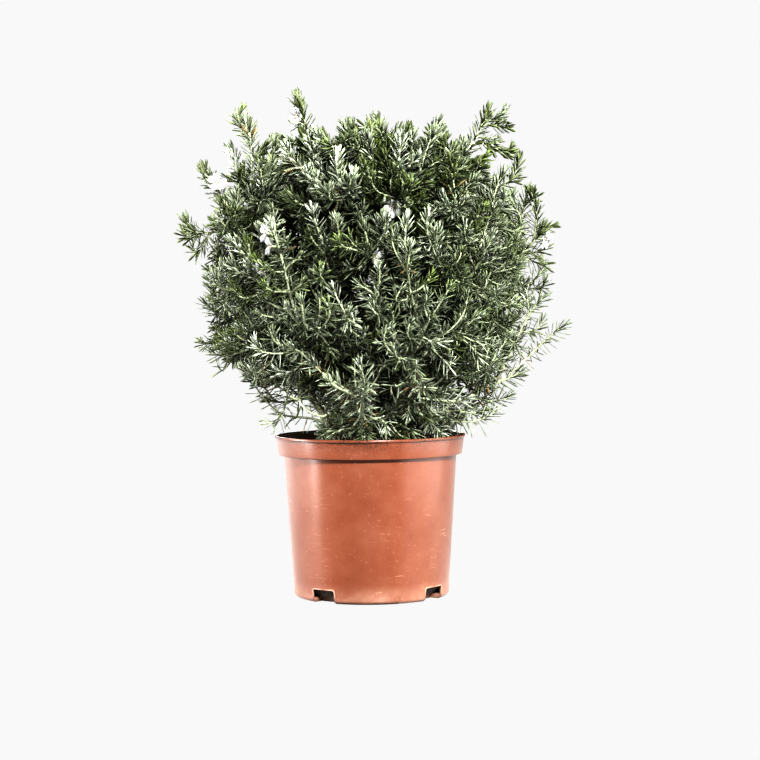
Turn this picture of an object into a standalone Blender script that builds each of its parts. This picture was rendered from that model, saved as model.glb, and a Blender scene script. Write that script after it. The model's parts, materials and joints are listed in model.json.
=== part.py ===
"""Potted coastal rosemary: a plastic nursery pot, potting soil, leafy stems and white blooms.

Units are metres and +Z is up. The origin is the middle of the pot's foot, on the surface that it
stands on, and -Y is the side that faces the viewer.
"""

import math
import random

import bmesh
import bpy
import numpy as np
from mathutils import Matrix, Vector

UP = Vector((0, 0, 1))
GOLDEN_ANGLE = math.pi * (3 - math.sqrt(5))
SEED = 11

# Gap between pieces that touch
SEAT_GAP = 0.0003

# Pot: one injection-moulded shell, 19 cm across, about three litres
POT_SIDES = 32
POT_WALL = 0.0016
POT_HEIGHT = 0.161
LIP_RADIUS = 0.0952
LIP_DEPTH = 0.0030
BAND_TOP_RADIUS = 0.0942
BAND_FOOT_RADIUS = 0.0918
BAND_FOOT_HEIGHT = 0.1415
WALL_TOP_RADIUS = 0.0862
WALL_FOOT_RADIUS = 0.0774
EDGE_ROUND = 0.0010
FOOT_ROUND = 0.0045
FOOT_RING_INNER_RADIUS = 0.058
FOOT_PAD_RADIUS = 0.014
BASE_RECESS = 0.0030

# Drainage notches: four in the foot, a quarter turn apart
NOTCH_COUNT = 4
NOTCH_WIDTH = 0.0262
NOTCH_HEIGHT = 0.0120
NOTCH_DEPTH = 0.0140
NOTCH_ROUND = 0.0022
NOTCH_OVERCUT = 0.0030
FIRST_NOTCH_ANGLE = math.radians(-90 - 37.5)

# Soil: the root ball, a little below the rim and uneven on top
SOIL_EDGE_HEIGHT = 0.1510
SOIL_MOUND = 0.0030
SOIL_BUMP = 0.0014
SOIL_TOP_RINGS = (0.064, 0.034)
SOIL_FOOT_TAPER = 0.0080
SOIL_FOOT_TAPER_HEIGHT = 0.0150

# Stems: where they leave the soil, and how thick they are
STEM_COUNT = 16
STEM_SPREAD = 0.042
STEM_DEPTH_IN_SOIL = 0.020
STEM_HOLE_GAP = 0.0004
STEM_FOOT_RADIUS = 0.0023
STEM_TIP_RADIUS = 0.0010
STEM_SIDES = 4
STEM_BARE_STEPS = 6
STEM_LEAN = 0.55
LOWEST_STEM_RISE = 0.16
STEM_CROWDING = 1.25
SHOOT_FOOT_RADIUS = 0.0015
SHOOT_TIP_RADIUS = 0.0010
SHOOT_SIDES = 3
SHOOT_BARE_STEPS = 3
SHORTEST_SHOOT = 0.046
FORK_PLACES = 22
LOWEST_FORK = 0.12
HIGHEST_FORK = 0.82
FORK_SPACING = 0.006
WIDEST_FORK = math.radians(66)
FORK_TURN_COST = 0.5
FORK_FOLLOW = 0.7
CURVE_STEPS = 20
CURVE_HANDLE = 0.36

# Clearances between branches, and the tries that bend a branch clear of the others
STEM_CLEARANCE = 0.0008
STEM_OVER_POT = 0.003
RIM_REACH = 0.006
SWAY = 0.004
PATH_TRIES = 40
SPHERE_PITCH = 0.0015
FREE_AFTER = 12

# Leaves: narrow blades in whorls, each turned half a leaf from the last, steep at the tip
LEAF_LENGTH = 0.0146
LEAF_WIDTH = 0.0025
LEAF_THICKNESS = 0.0010
LEAF_WIDEST_AT = 0.45
LEAF_ROOT_HEIGHT = 0.0010
LEAF_LENGTHS = (0.86, 1.08)
LEAF_LEAN_SPREAD = 0.12
LEAF_ROOT_RADIUS = 0.0006
LEAF_TIP_RADIUS = 0.0003
LEAF_OVER_POT = 0.002
WHORL_PITCH = 0.0125
FIRST_WHORL_BELOW_TIP = 0.0025
WHORL_ANGLES = [math.radians(angle) for angle in (62, 44, 22)]
LEAF_CLEARANCE = 0.0004

# Canopy: the rounded bush that the shoots fill
CANOPY_CENTRE = Vector((0, 0, 0.303))
CANOPY_RADIUS = 0.172
CANOPY_RISE = 0.182
CANOPY_DROP = 0.120
CANOPY_SQUARENESS = 2.6
CROWN = Vector((0, 0, 0.173))
TIP_RISE = 0.20
TUFT_REACH = 0.010
FILL_SPACING = 0.053
FILL_LOWEST_DIRECTION = -0.62
FILL_DRAWS = 3000

# Shoot tips that draw the bush's outline, as (x, y, z) in millimetres
OUTLINE_TIPS = [
    (-182, -20, 375), (-172, 10, 301), (-164, 35, 262), (-163, -35, 251), (-161, -5, 429),
    (-143, 25, 460), (-123, -10, 484), (-92, 40, 467), (-68, 0, 500), (-44, 35, 465),
    (-23, -35, 454), (4, 15, 485), (22, -25, 461), (40, 50, 460), (76, 15, 477), (89, -40, 452),
    (124, 5, 493), (138, -30, 429), (167, 20, 412), (153, 65, 411), (181, -10, 373),
    (183, 30, 331), (179, -40, 303), (204, 0, 274), (158, -20, 226), (148, 20, 200),
    (121, -32, 187), (-112, 15, 200), (-100, -32, 187),
]
# Shoot tips on the side that faces the viewer
FRONT_TIPS = [
    (-118, -100, 337), (-79, -120, 295), (-75, -130, 258), (-48, -145, 276), (-20, -150, 293),
    (8, -155, 312), (-6, -132, 216), (-53, -90, 403), (-13, -115, 407), (0, -140, 350),
    (30, -110, 403), (92, -95, 401), (125, -90, 363), (69, -130, 348), (40, -148, 333),
    (-42, -125, 358), (-105, -60, 416), (60, -140, 283), (26, -152, 253), (102, -110, 273),
    (56, -130, 217), (-40, -138, 225), (-80, -105, 208), (131, -80, 243), (57, -65, 433),
    (100, -88, 203), (-131, -75, 276),
]
# Places where blooms open, each on the shoot that passes nearest
BLOOM_PLACES = [
    (-146, -30, 421), (-90, 25, 438), (-84, -18, 471), (-110, -112, 355), (-103, -118, 343),
    (-113, -104, 341), (15, -148, 341), (183, -14, 361), (28, -116, 395),
    (70, 120, 383), (-60, 140, 333), (-20, 70, 453), (130, 90, 303),
]

# Blooms: five flat lobes on a short tube, two above and three below
PETAL_ANGLES = [math.radians(angle) for angle in (58, 122, 205, 270, 335)]
PETAL_LIFTS = [math.radians(lift) for lift in (24, 16, 22, 14, 18)]
PETAL_LENGTH = 0.0078
PETAL_WIDTH = 0.0046
PETAL_THICKNESS = 0.0008
PETAL_OUTLINE = [(0.04, 0.0), (0.66, 1.0), (1.0, 0.6), (1.0, -0.6), (0.66, -1.0)]
BLOOM_TUBE_LENGTH = 0.0055
BLOOM_TUBE_RADIUS = 0.0011
BLOOM_THROAT_RADIUS = 0.0019
BLOOM_THROAT_RISE = 0.0013
BLOOM_TUBE_SIDES = 5
BLOOM_BELOW_TIP = 0.012
BLOOM_RANGE = 0.048
BLOOM_STEPS = 8
BLOOM_LOWEST_SHARE = 0.3
BLOOM_LEAN = 0.35
NO_OFFSET = 0.002


def clear_scene():
    for old in list(bpy.data.objects):
        bpy.data.objects.remove(old, do_unlink=True)


def material(name, colour, roughness):
    finish = bpy.data.materials.new(name)
    finish.use_nodes = True
    shader = finish.node_tree.nodes["Principled BSDF"]
    shader.inputs["Base Color"].default_value = (*colour, 1)
    shader.inputs["Roughness"].default_value = roughness
    shader.inputs["Metallic"].default_value = 0.0
    return finish


def add_object(name, mesh, finish=None):
    thing = bpy.data.objects.new(name, mesh)
    bpy.context.collection.objects.link(thing)
    if finish:
        mesh.materials.append(finish)
    return thing


def closed_mesh(name, corners, faces):
    """A mesh from its corners and faces, with every face turned outwards."""
    shape = bmesh.new()
    points = [shape.verts.new(corner) for corner in corners]
    for face in faces:
        shape.faces.new([points[index] for index in face])
    bmesh.ops.recalc_face_normals(shape, faces=shape.faces)
    mesh = bpy.data.meshes.new(name)
    shape.to_mesh(mesh)
    shape.free()
    return mesh


def turned_mesh(name, profile, sides):
    """A closed solid turned about Z from a profile of (radius, height) that ends on the axis."""
    corners = []
    rings = []
    for radius, height in profile:
        if radius == 0:
            rings.append([len(corners)])
            corners.append((0, 0, height))
            continue
        rings.append(list(range(len(corners), len(corners) + sides)))
        for side in range(sides):
            angle = 2 * math.pi * side / sides
            corners.append((radius * math.cos(angle), radius * math.sin(angle), height))
    faces = []
    for lower, upper in zip(rings, rings[1:]):
        for side in range(sides):
            after = (side + 1) % sides
            if len(lower) == 1:
                faces.append((lower[0], upper[side], upper[after]))
            elif len(upper) == 1:
                faces.append((lower[side], lower[after], upper[0]))
            else:
                faces.append((lower[side], lower[after], upper[after], upper[side]))
    return closed_mesh(name, corners, faces)


def apply_modifiers(thing):
    """Replace an object's mesh by what its modifiers make of it."""
    bpy.context.view_layer.update()
    evaluated = thing.evaluated_get(bpy.context.evaluated_depsgraph_get())
    mesh = bpy.data.meshes.new_from_object(evaluated)
    thing.modifiers.clear()
    thing.data = mesh


def combine(thing, tools, operation):
    """Join the tools to an object, or cut them from it, in one Boolean, and remove them."""
    group = bpy.data.collections.new("tools")
    bpy.context.scene.collection.children.link(group)
    for tool in tools:
        bpy.context.collection.objects.unlink(tool)
        group.objects.link(tool)
    boolean = thing.modifiers.new(operation.lower(), 'BOOLEAN')
    boolean.operation = operation
    boolean.solver = 'EXACT'
    boolean.operand_type = 'COLLECTION'
    boolean.collection = group
    apply_modifiers(thing)
    for tool in tools:
        bpy.data.objects.remove(tool, do_unlink=True)
    bpy.data.collections.remove(group)


def keep_largest_body(thing):
    """Drop loose scraps, and fill hollows that joining the pieces has sealed."""
    shape = bmesh.new()
    shape.from_mesh(thing.data)
    unseen = set(shape.verts)
    bodies = []
    while unseen:
        body = [unseen.pop()]
        for vert in body:
            for edge in vert.link_edges:
                other = edge.other_vert(vert)
                if other in unseen:
                    unseen.remove(other)
                    body.append(other)
        bodies.append(body)
    bodies.sort(key=len, reverse=True)
    for body in bodies[1:]:
        bmesh.ops.delete(shape, geom=body, context='VERTS')
    shape.to_mesh(thing.data)
    shape.free()


def arc(centre, radius, start, end, steps):
    """Points of (radius, height) round part of a circle, from one angle to another."""
    angles = [start + (end - start) * step / steps for step in range(steps + 1)]
    return [(centre[0] + radius * math.cos(a), centre[1] + radius * math.sin(a)) for a in angles]


def pot_profile():
    """Up the outside from the foot to the rim, and down the inside to the middle."""
    quarter = math.pi / 2
    lip_foot = POT_HEIGHT - LIP_DEPTH
    inner = -POT_WALL
    outside = [(0, 0), (FOOT_PAD_RADIUS, 0), (FOOT_PAD_RADIUS + BASE_RECESS, BASE_RECESS)]
    outside += [(FOOT_RING_INNER_RADIUS, BASE_RECESS), (FOOT_RING_INNER_RADIUS + BASE_RECESS, 0)]
    outside += arc((WALL_FOOT_RADIUS - FOOT_ROUND, FOOT_ROUND), FOOT_ROUND, -quarter, 0, 2)
    outside += [(WALL_TOP_RADIUS, BAND_FOOT_HEIGHT)]
    outside += [(BAND_FOOT_RADIUS - EDGE_ROUND, BAND_FOOT_HEIGHT)]
    outside += [(BAND_FOOT_RADIUS, BAND_FOOT_HEIGHT + EDGE_ROUND)]
    outside += [(BAND_TOP_RADIUS, lip_foot)]
    outside += [(LIP_RADIUS, lip_foot), (LIP_RADIUS, POT_HEIGHT - EDGE_ROUND)]
    outside += [(LIP_RADIUS - EDGE_ROUND, POT_HEIGHT)]
    inside = [(BAND_TOP_RADIUS + inner, POT_HEIGHT)]
    inside += [(BAND_FOOT_RADIUS + inner, BAND_FOOT_HEIGHT + POT_WALL)]
    inside += [(WALL_TOP_RADIUS + inner, BAND_FOOT_HEIGHT + POT_WALL)]
    inside += [(WALL_FOOT_RADIUS + inner, BASE_RECESS + POT_WALL), (0, BASE_RECESS + POT_WALL)]
    return outside + inside


def notch_tool(number):
    """A cutter with rounded upper corners that opens the foot of the wall and the base behind it."""
    quarter = math.pi / 2
    half = NOTCH_WIDTH / 2
    top = NOTCH_HEIGHT - NOTCH_ROUND
    outline = [(-half, -NOTCH_OVERCUT), (half, -NOTCH_OVERCUT)]
    outline += arc((half - NOTCH_ROUND, top), NOTCH_ROUND, 0, quarter, 2)
    outline += arc((NOTCH_ROUND - half, top), NOTCH_ROUND, quarter, 2 * quarter, 2)
    depths = (WALL_FOOT_RADIUS - NOTCH_DEPTH, WALL_FOOT_RADIUS + NOTCH_OVERCUT)
    corners = [(depth, across, height) for depth in depths for across, height in outline]
    count = len(outline)
    faces = [tuple(range(count)), tuple(range(count, 2 * count))]
    for index in range(count):
        after = (index + 1) % count
        faces.append((index, after, after + count, index + count))
    tool = add_object("notch_tool", closed_mesh("notch_tool", corners, faces))
    turn = FIRST_NOTCH_ANGLE + 2 * math.pi * number / NOTCH_COUNT
    tool.data.transform(Matrix.Rotation(turn, 4, 'Z'))
    return tool


def make_pot():
    finish = material("terracotta_plastic", (0.60, 0.19, 0.10), 0.38)
    pot = add_object("pot", turned_mesh("pot", pot_profile(), POT_SIDES), finish)
    combine(pot, [notch_tool(number) for number in range(NOTCH_COUNT)], 'DIFFERENCE')


def soil_profile():
    """The inside of the pot less the seat gap, with the foot drawn in and the top mounded."""
    floor = BASE_RECESS + POT_WALL + SEAT_GAP
    shrink = POT_WALL + SEAT_GAP
    band_slope = (BAND_TOP_RADIUS - BAND_FOOT_RADIUS) / (POT_HEIGHT - BAND_FOOT_HEIGHT - POT_WALL)
    edge_radius = BAND_FOOT_RADIUS - shrink + band_slope * (SOIL_EDGE_HEIGHT - BAND_FOOT_HEIGHT - POT_WALL)
    wall_slope = (WALL_TOP_RADIUS - WALL_FOOT_RADIUS) / BAND_FOOT_HEIGHT
    taper_top = WALL_FOOT_RADIUS - shrink + wall_slope * SOIL_FOOT_TAPER_HEIGHT - SEAT_GAP
    profile = [(0, floor), (WALL_FOOT_RADIUS - shrink - SOIL_FOOT_TAPER, floor)]
    profile += [(taper_top, SOIL_FOOT_TAPER_HEIGHT)]
    profile += [(WALL_TOP_RADIUS - shrink, BAND_FOOT_HEIGHT + POT_WALL + SEAT_GAP)]
    profile += [(BAND_FOOT_RADIUS - shrink - SEAT_GAP, BAND_FOOT_HEIGHT + POT_WALL + SEAT_GAP)]
    profile += [(edge_radius, SOIL_EDGE_HEIGHT)]
    profile += [(radius, soil_height(radius)) for radius in SOIL_TOP_RINGS]
    return profile + [(0, soil_height(0))]


def soil_height(radius):
    return SOIL_EDGE_HEIGHT + SOIL_MOUND * (1 - (radius / BAND_FOOT_RADIUS) ** 2)


def make_soil(stems):
    finish = material("potting_soil", (0.030, 0.019, 0.012), 0.95)
    soil = add_object("soil", turned_mesh("soil", soil_profile(), POT_SIDES), finish)
    chance = random.Random(SEED)
    for vert in soil.data.vertices:
        if vert.co.z > SOIL_EDGE_HEIGHT + SEAT_GAP:
            vert.co.z += SOIL_BUMP * chance.uniform(-1, 1)
    combine(soil, [stem_hole_tool(stem) for stem in stems], 'DIFFERENCE')


def stem_hole_tool(stem):
    """A plain round hole that the foot of a stem stands in."""
    foot, leaving = stem["line"][0], stem["leaving"]
    radius = STEM_FOOT_RADIUS + STEM_HOLE_GAP
    bottom = foot - leaving * (STEM_DEPTH_IN_SOIL + SEAT_GAP)
    top = foot + leaving * STEM_DEPTH_IN_SOIL
    return add_object("hole_tool", tube_mesh([bottom, top], [radius, radius], 6, pointed=False))


def tube_mesh(path, radii, sides, pointed=True):
    """A tube along a path, closed flat at its foot, and at its tip by a point or flat."""
    tangents = path_tangents(path)
    side = tangents[0].orthogonal().normalized()
    corners = []
    last = len(path) - 1
    for index, (point, tangent, radius) in enumerate(zip(path, tangents, radii)):
        side = (side - tangent * side.dot(tangent)).normalized()
        other = tangent.cross(side)
        if pointed and index == last:
            corners.append(point)
            break
        for step in range(sides):
            angle = 2 * math.pi * step / sides
            corners.append(point + (side * math.cos(angle) + other * math.sin(angle)) * radius)
    faces = [tuple(range(sides))]
    whole_rings = last - 1 if pointed else last
    for ring in range(whole_rings):
        for step in range(sides):
            after = (step + 1) % sides
            low, high = ring * sides, (ring + 1) * sides
            faces.append((low + step, low + after, high + after, high + step))
    top = whole_rings * sides
    if pointed:
        faces += [(top + step, top + (step + 1) % sides, len(corners) - 1) for step in range(sides)]
    else:
        faces.append(tuple(range(top, top + sides)))
    return closed_mesh("tube", corners, faces)


def path_tangents(path):
    ends = [path[0]] + path + [path[-1]]
    return [(after - before).normalized() for before, after in zip(ends, ends[2:])]


def point_on_path(path, share):
    """The point and the direction at a share of a path's length."""
    left = share * path_length(path)
    for before, after in zip(path, path[1:]):
        step = (after - before).length
        if left <= step:
            return before.lerp(after, left / step), (after - before).normalized()
        left -= step
    return path[-1], (after - before).normalized()


def curve_path(start, leaving, tip, arriving, sway, steps):
    """A smooth curve that leaves one way, arrives another, and sways aside in between."""
    handle = (tip - start).length * CURVE_HANDLE
    first = start + leaving * handle + sway
    second = tip - arriving * handle + sway
    path = []
    for step in range(steps + 1):
        t = step / steps
        u = 1 - t
        path.append(start * u ** 3 + first * 3 * u * u * t + second * 3 * u * t * t + tip * t ** 3)
    return path


def path_length(path):
    return sum((after - before).length for before, after in zip(path, path[1:]))


def taper(path, foot_radius, tip_radius):
    """A radius for each point of a path, shrinking evenly along its length."""
    radii = [foot_radius]
    slope = (tip_radius - foot_radius) / path_length(path)
    for before, after in zip(path, path[1:]):
        radii.append(radii[-1] + slope * (after - before).length)
    return radii


class Space:
    """What has been placed so far, as small spheres, each with the numbers of its stem and branch."""

    def __init__(self):
        self.centres = np.zeros((0, 3))
        self.radii = np.zeros(0)
        self.owners = np.zeros((0, 2), dtype=int)

    def add(self, centres, radii, stem, branch):
        self.centres = np.vstack((self.centres, centres))
        self.radii = np.concatenate((self.radii, radii))
        self.owners = np.vstack((self.owners, np.tile((stem, branch), (len(radii), 1))))

    def gap(self, centres, radii, stem, branch=None):
        """The least gap to the other stems or, where a branch is given, to all other branches."""
        others = self.owners[:, 0] != stem
        if branch is not None:
            others |= self.owners[:, 1] != branch
        if not others.any():
            return 1.0
        apart = np.linalg.norm(centres[:, None] - self.centres[None, others], axis=2)
        return float((apart - radii[:, None] - self.radii[None, others]).min())


def spheres_along(path, radii):
    """Spheres that fill a tapered path."""
    centres, sizes = [], []
    for index in range(len(path) - 1):
        count = max(1, math.ceil((path[index + 1] - path[index]).length / SPHERE_PITCH))
        for step in range(count):
            share = step / count
            centres.append(path[index].lerp(path[index + 1], share))
            sizes.append(radii[index] * (1 - share) + radii[index + 1] * share)
    centres.append(path[-1])
    sizes.append(radii[-1])
    return np.array(centres), np.array(sizes)


def clears_pot(centres, margin):
    """Whether every point lies above the soil, and above the rim where it passes over it."""
    reach = np.hypot(centres[:, 0], centres[:, 1])
    over_rim = (reach > BAND_FOOT_RADIUS - RIM_REACH) & (reach < LIP_RADIUS + RIM_REACH)
    over_soil = reach <= BAND_FOOT_RADIUS - RIM_REACH
    rim_clear = centres[over_rim, 2] > POT_HEIGHT + margin
    soil_clear = centres[over_soil, 2] > SOIL_EDGE_HEIGHT + SOIL_MOUND + margin
    return bool(rim_clear.all() and soil_clear.all())


def canopy_point(direction):
    """Where a ray from the canopy's centre leaves the canopy."""
    across = math.hypot(direction.x, direction.y) / CANOPY_RADIUS
    upright = abs(direction.z) / (CANOPY_RISE if direction.z > 0 else CANOPY_DROP)
    reach = (across ** CANOPY_SQUARENESS + upright ** CANOPY_SQUARENESS) ** (-1 / CANOPY_SQUARENESS)
    return CANOPY_CENTRE + direction * reach


def arriving_direction(tip):
    return ((tip - CROWN).normalized() + UP * TIP_RISE).normalized()


def shoot_end(tip):
    """Where the woody part of a shoot ends, below the tip of its last leaves."""
    return tip - arriving_direction(tip) * TUFT_REACH


def shoot_tips():
    """The chosen tips, and then tips drawn over the rest of the canopy, evenly apart."""
    tips = [Vector(tip) / 1000 for tip in OUTLINE_TIPS + FRONT_TIPS]
    chance = random.Random(SEED)
    for _ in range(FILL_DRAWS):
        height = chance.uniform(FILL_LOWEST_DIRECTION, 1)
        turn = chance.uniform(0, 2 * math.pi)
        flat = math.sqrt(1 - height * height)
        tip = canopy_point(Vector((flat * math.cos(turn), flat * math.sin(turn), height)))
        if min((tip - other).length for other in tips) > FILL_SPACING:
            tips.append(tip)
    return [shoot_end(tip) for tip in tips]


def stem_directions():
    """One direction for each stem, evenly spread over the canopy."""
    directions = []
    for number in range(STEM_COUNT):
        share = (number + 0.5) / STEM_COUNT
        rise = 1 - (1 - LOWEST_STEM_RISE) * share ** STEM_CROWDING
        flat = math.sqrt(1 - rise * rise)
        turn = number * GOLDEN_ANGLE
        directions.append(Vector((flat * math.cos(turn), flat * math.sin(turn), rise)))
    return directions


def clear_branch(space, stem, branch, chance, start, leaving, tip, bare_steps, thickness):
    """A branch to a tip that touches nothing beyond its foot, or None after many tries."""
    for attempt in range(PATH_TRIES):
        amount = SWAY * (1 + attempt / 2) / 2
        sway = Vector([chance.gauss(0, amount) for _ in range(3)])
        curve = curve_path(start, leaving, tip, arriving_direction(tip), sway, CURVE_STEPS)
        line, directions = branch_line(curve, bare_steps)
        radii = taper(line, *thickness)
        centres, sizes = spheres_along(line, radii)
        if not clears_pot(centres[FREE_AFTER:], STEM_OVER_POT):
            continue
        if space.gap(centres, sizes, stem) < STEM_CLEARANCE:
            continue
        if space.gap(centres[FREE_AFTER:], sizes[FREE_AFTER:], stem, branch) > STEM_CLEARANCE:
            space.add(centres, sizes, stem, branch)
            return {"line": line, "directions": directions, "radii": radii, "branch": branch,
                    "start": start}
    return None


def grow_stems(space):
    """Each stem with its side shoots: branches that fill the canopy and never cross another stem."""
    chance = random.Random(SEED)
    directions = stem_directions()
    groups = [[] for _ in directions]
    for tip in shoot_tips():
        out = (tip - CROWN).normalized()
        nearest = max(range(STEM_COUNT), key=lambda number: out.dot(directions[number]))
        groups[nearest].append(tip)
    stems = []
    for number, (direction, tips) in enumerate(zip(directions, groups)):
        tips.sort(key=lambda tip: -direction.dot((tip - CROWN).normalized()))
        hole = Vector((direction.x, direction.y, 0)).normalized()
        hole *= STEM_SPREAD * math.sqrt((number + 0.5) / STEM_COUNT)
        start = Vector((hole.x, hole.y, soil_height(hole.length)))
        leaving = (UP * (1 - STEM_LEAN) + direction * STEM_LEAN).normalized()
        stem = clear_branch(space, number, 0, chance, start, leaving, tips[0], STEM_BARE_STEPS,
                            (STEM_FOOT_RADIUS, STEM_TIP_RADIUS))
        stem.update(number=number, leaving=leaving, tips=tips[1:], shoots=[])
        stems.append(stem)
    for stem in stems:
        for tip in stem["tips"]:
            add_shoot(space, stem, tip, chance)
    return stems


def add_shoot(space, stem, tip, chance):
    """A side shoot from the place on the stem that leads to its tip most directly."""
    choices = []
    for step in range(FORK_PLACES):
        share = LOWEST_FORK + (HIGHEST_FORK - LOWEST_FORK) * step / (FORK_PLACES - 1)
        start, along = point_on_path(stem["line"], share)
        reach = tip - start
        turn = along.angle(reach)
        taken = any((start - shoot["start"]).length < FORK_SPACING for shoot in stem["shoots"])
        if turn < WIDEST_FORK and reach.length > SHORTEST_SHOOT and not taken:
            choices.append((reach.length * (1 + turn * FORK_TURN_COST), start, along))
    for _, start, along in sorted(choices, key=lambda choice: choice[0]):
        leaving = (along * FORK_FOLLOW + (tip - start).normalized()).normalized()
        shoot = clear_branch(space, stem["number"], len(stem["shoots"]) + 1, chance, start, leaving,
                             tip, SHOOT_BARE_STEPS, (SHOOT_FOOT_RADIUS, SHOOT_TIP_RADIUS))
        if shoot:
            stem["shoots"].append(shoot)
            return
    print("no way for shoot", tuple(round(value, 3) for value in tip))


def branch_line(curve, bare_steps):
    """Points up a branch: evenly spaced where it is bare, then two for each whorl, then the tip."""
    length = path_length(curve)
    pairs = []
    for whorl in reversed(range(len(WHORL_ANGLES))):
        below_tip = FIRST_WHORL_BELOW_TIP + whorl * WHORL_PITCH
        pairs += [1 - (below_tip + LEAF_ROOT_HEIGHT) / length, 1 - below_tip / length]
    shares = [pairs[0] * step / bare_steps for step in range(bare_steps)] + pairs + [1]
    points, directions = zip(*(point_on_path(curve, share) for share in shares))
    return list(points), list(directions)


def branch_rings(branch, sides):
    """The centre, direction and corners of each ring of a branch, all but the tip."""
    line = branch["line"]
    first_pair = len(line) - 1 - 2 * len(WHORL_ANGLES)
    side = branch["directions"][0].orthogonal().normalized()
    rings = []
    for index, point in enumerate(line[:-1]):
        tangent, radius = branch["directions"][index], branch["radii"][index]
        side = (side - tangent * side.dot(tangent)).normalized()
        whorl = max(0, index - first_pair) // 2
        corners = []
        for step in range(sides):
            turn = Matrix.Rotation((2 * step + whorl) * math.pi / sides, 3, tangent)
            corners.append(point + turn @ side * radius)
        rings.append((point, tangent, corners))
    return rings


def choose_leaves(space, stem, branch, sides, chance):
    """For each whorl and side of a branch, the leaf that fits there, left out where none does."""
    first_pair = len(branch["line"]) - 1 - 2 * len(WHORL_ANGLES)
    rings = branch_rings(branch, sides)
    leaves = {}
    for whorl, angle in enumerate(WHORL_ANGLES):
        lower, upper = first_pair + 2 * whorl, first_pair + 2 * whorl + 1
        centre, along, _ = rings[lower]
        for side in range(sides):
            after = (side + 1) % sides
            root = sum((rings[ring][2][step] for ring in (lower, upper) for step in (side, after)),
                       Vector()) / 4
            out = root - centre
            out = (out - along * out.dot(along)).normalized()
            lean = angle + chance.uniform(-LEAF_LEAN_SPREAD, LEAF_LEAN_SPREAD)
            direction = along * math.cos(lean) + out * math.sin(lean)
            length = LEAF_LENGTH * chance.uniform(*LEAF_LENGTHS)
            lift = (along - direction * along.dot(direction)).normalized()
            across = direction.cross(lift)
            middle = root + direction * length * LEAF_WIDEST_AT + lift * LEAF_THICKNESS
            tip = root + direction * length
            radii = [LEAF_ROOT_RADIUS, LEAF_WIDTH / 2, LEAF_TIP_RADIUS]
            centres, sizes = spheres_along([root, middle, tip], radii)
            inner = len(sizes) // 4
            if not clears_pot(centres, LEAF_OVER_POT):
                continue
            if space.gap(centres, sizes, stem) < LEAF_CLEARANCE:
                continue
            if space.gap(centres[inner:], sizes[inner:], stem, branch["branch"]) < LEAF_CLEARANCE:
                continue
            space.add(centres[inner:], sizes[inner:], stem, branch["branch"])
            edge = across * LEAF_WIDTH / 2
            leaves[lower, side] = (middle + edge, middle - edge, tip)
    return leaves


def branch_mesh(branch, sides, leaves):
    """A branch with its leaves raised from its surface: a flat upper face and a keel below."""
    corners = []
    for _, _, ring in branch_rings(branch, sides):
        corners += ring
    top = len(corners) - sides
    faces = [tuple(range(sides))]
    for start in range(0, top, sides):
        for side in range(sides):
            a, b = start + side, start + (side + 1) % sides
            c, d = b + sides, a + sides
            leaf = leaves.get((start // sides, side))
            if leaf is None:
                faces += [(a, b, d), (b, c, d)]
                continue
            left = len(corners)
            right, tip = left + 1, left + 2
            corners += leaf
            faces += [(a, b, tip), (a, tip, left), (b, right, tip), (left, tip, right)]
            faces += [(a, left, d), (b, c, right), (d, left, right), (d, right, c)]
    corners.append(branch["line"][-1])
    faces += [(top + side, top + (side + 1) % sides, len(corners) - 1) for side in range(sides)]
    return closed_mesh("branch", corners, faces)


def make_stem(space, stem, finish):
    """One stem with its foot in the soil, its side shoots and their leaves, joined in one body."""
    chance = random.Random(SEED + stem["number"])
    number = stem["number"]
    stem["line"].insert(0, stem["line"][0] - stem["leaving"] * STEM_DEPTH_IN_SOIL)
    stem["directions"].insert(0, stem["leaving"])
    stem["radii"].insert(0, STEM_FOOT_RADIUS)
    leaves = choose_leaves(space, number, stem, STEM_SIDES, chance)
    mesh = branch_mesh(stem, STEM_SIDES, leaves)
    leader = add_object(f"leafy_stem_{number + 1:02d}", mesh, finish)
    shoots = []
    for shoot in stem["shoots"]:
        leaves = choose_leaves(space, number, shoot, SHOOT_SIDES, chance)
        shoots.append(add_object("shoot", branch_mesh(shoot, SHOOT_SIDES, leaves)))
    combine(leader, shoots, 'UNION')
    keep_largest_body(leader)


def bloom_frame(stems, place):
    """The base point, the axis and the shoot's direction for the bloom nearest to a place."""
    best = None
    for stem in stems:
        for shoot in [stem] + stem["shoots"]:
            length = path_length(shoot["line"])
            for step in range(BLOOM_STEPS + 1):
                below_tip = BLOOM_BELOW_TIP + BLOOM_RANGE * step / BLOOM_STEPS
                point, along = point_on_path(shoot["line"], max(BLOOM_LOWEST_SHARE, 1 - below_tip / length))
                apart = (place - point).length
                if best is None or apart < best[0]:
                    best = (apart, point, along)
    _, point, along = best
    outward = place - point
    outward -= along * outward.dot(along)
    if outward.length < NO_OFFSET:
        outward = Vector((point.x, point.y, 0))
        outward -= along * outward.dot(along)
    axis = (outward.normalized() + along * BLOOM_LEAN).normalized()
    return point + outward.normalized() * (SHOOT_FOOT_RADIUS + SEAT_GAP), axis, along


def petal_mesh(throat, axis, out, lift):
    """One lobe: a flat blade with a narrow root and a rounded end."""
    rise = (out * math.cos(lift) + axis * math.sin(lift)).normalized()
    across = axis.cross(out).normalized()
    normal = rise.cross(across)
    half = PETAL_WIDTH / 2
    flat = []
    for reach, width in PETAL_OUTLINE:
        flat.append(throat + rise * PETAL_LENGTH * reach + across * half * width)
    corners = [p + normal * PETAL_THICKNESS / 2 for p in flat]
    corners += [p - normal * PETAL_THICKNESS / 2 for p in flat]
    count = len(flat)
    faces = [tuple(range(count)), tuple(range(count, 2 * count))]
    for index in range(count):
        after = (index + 1) % count
        faces.append((index, after, after + count, index + count))
    return closed_mesh("petal", corners, faces)


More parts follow.
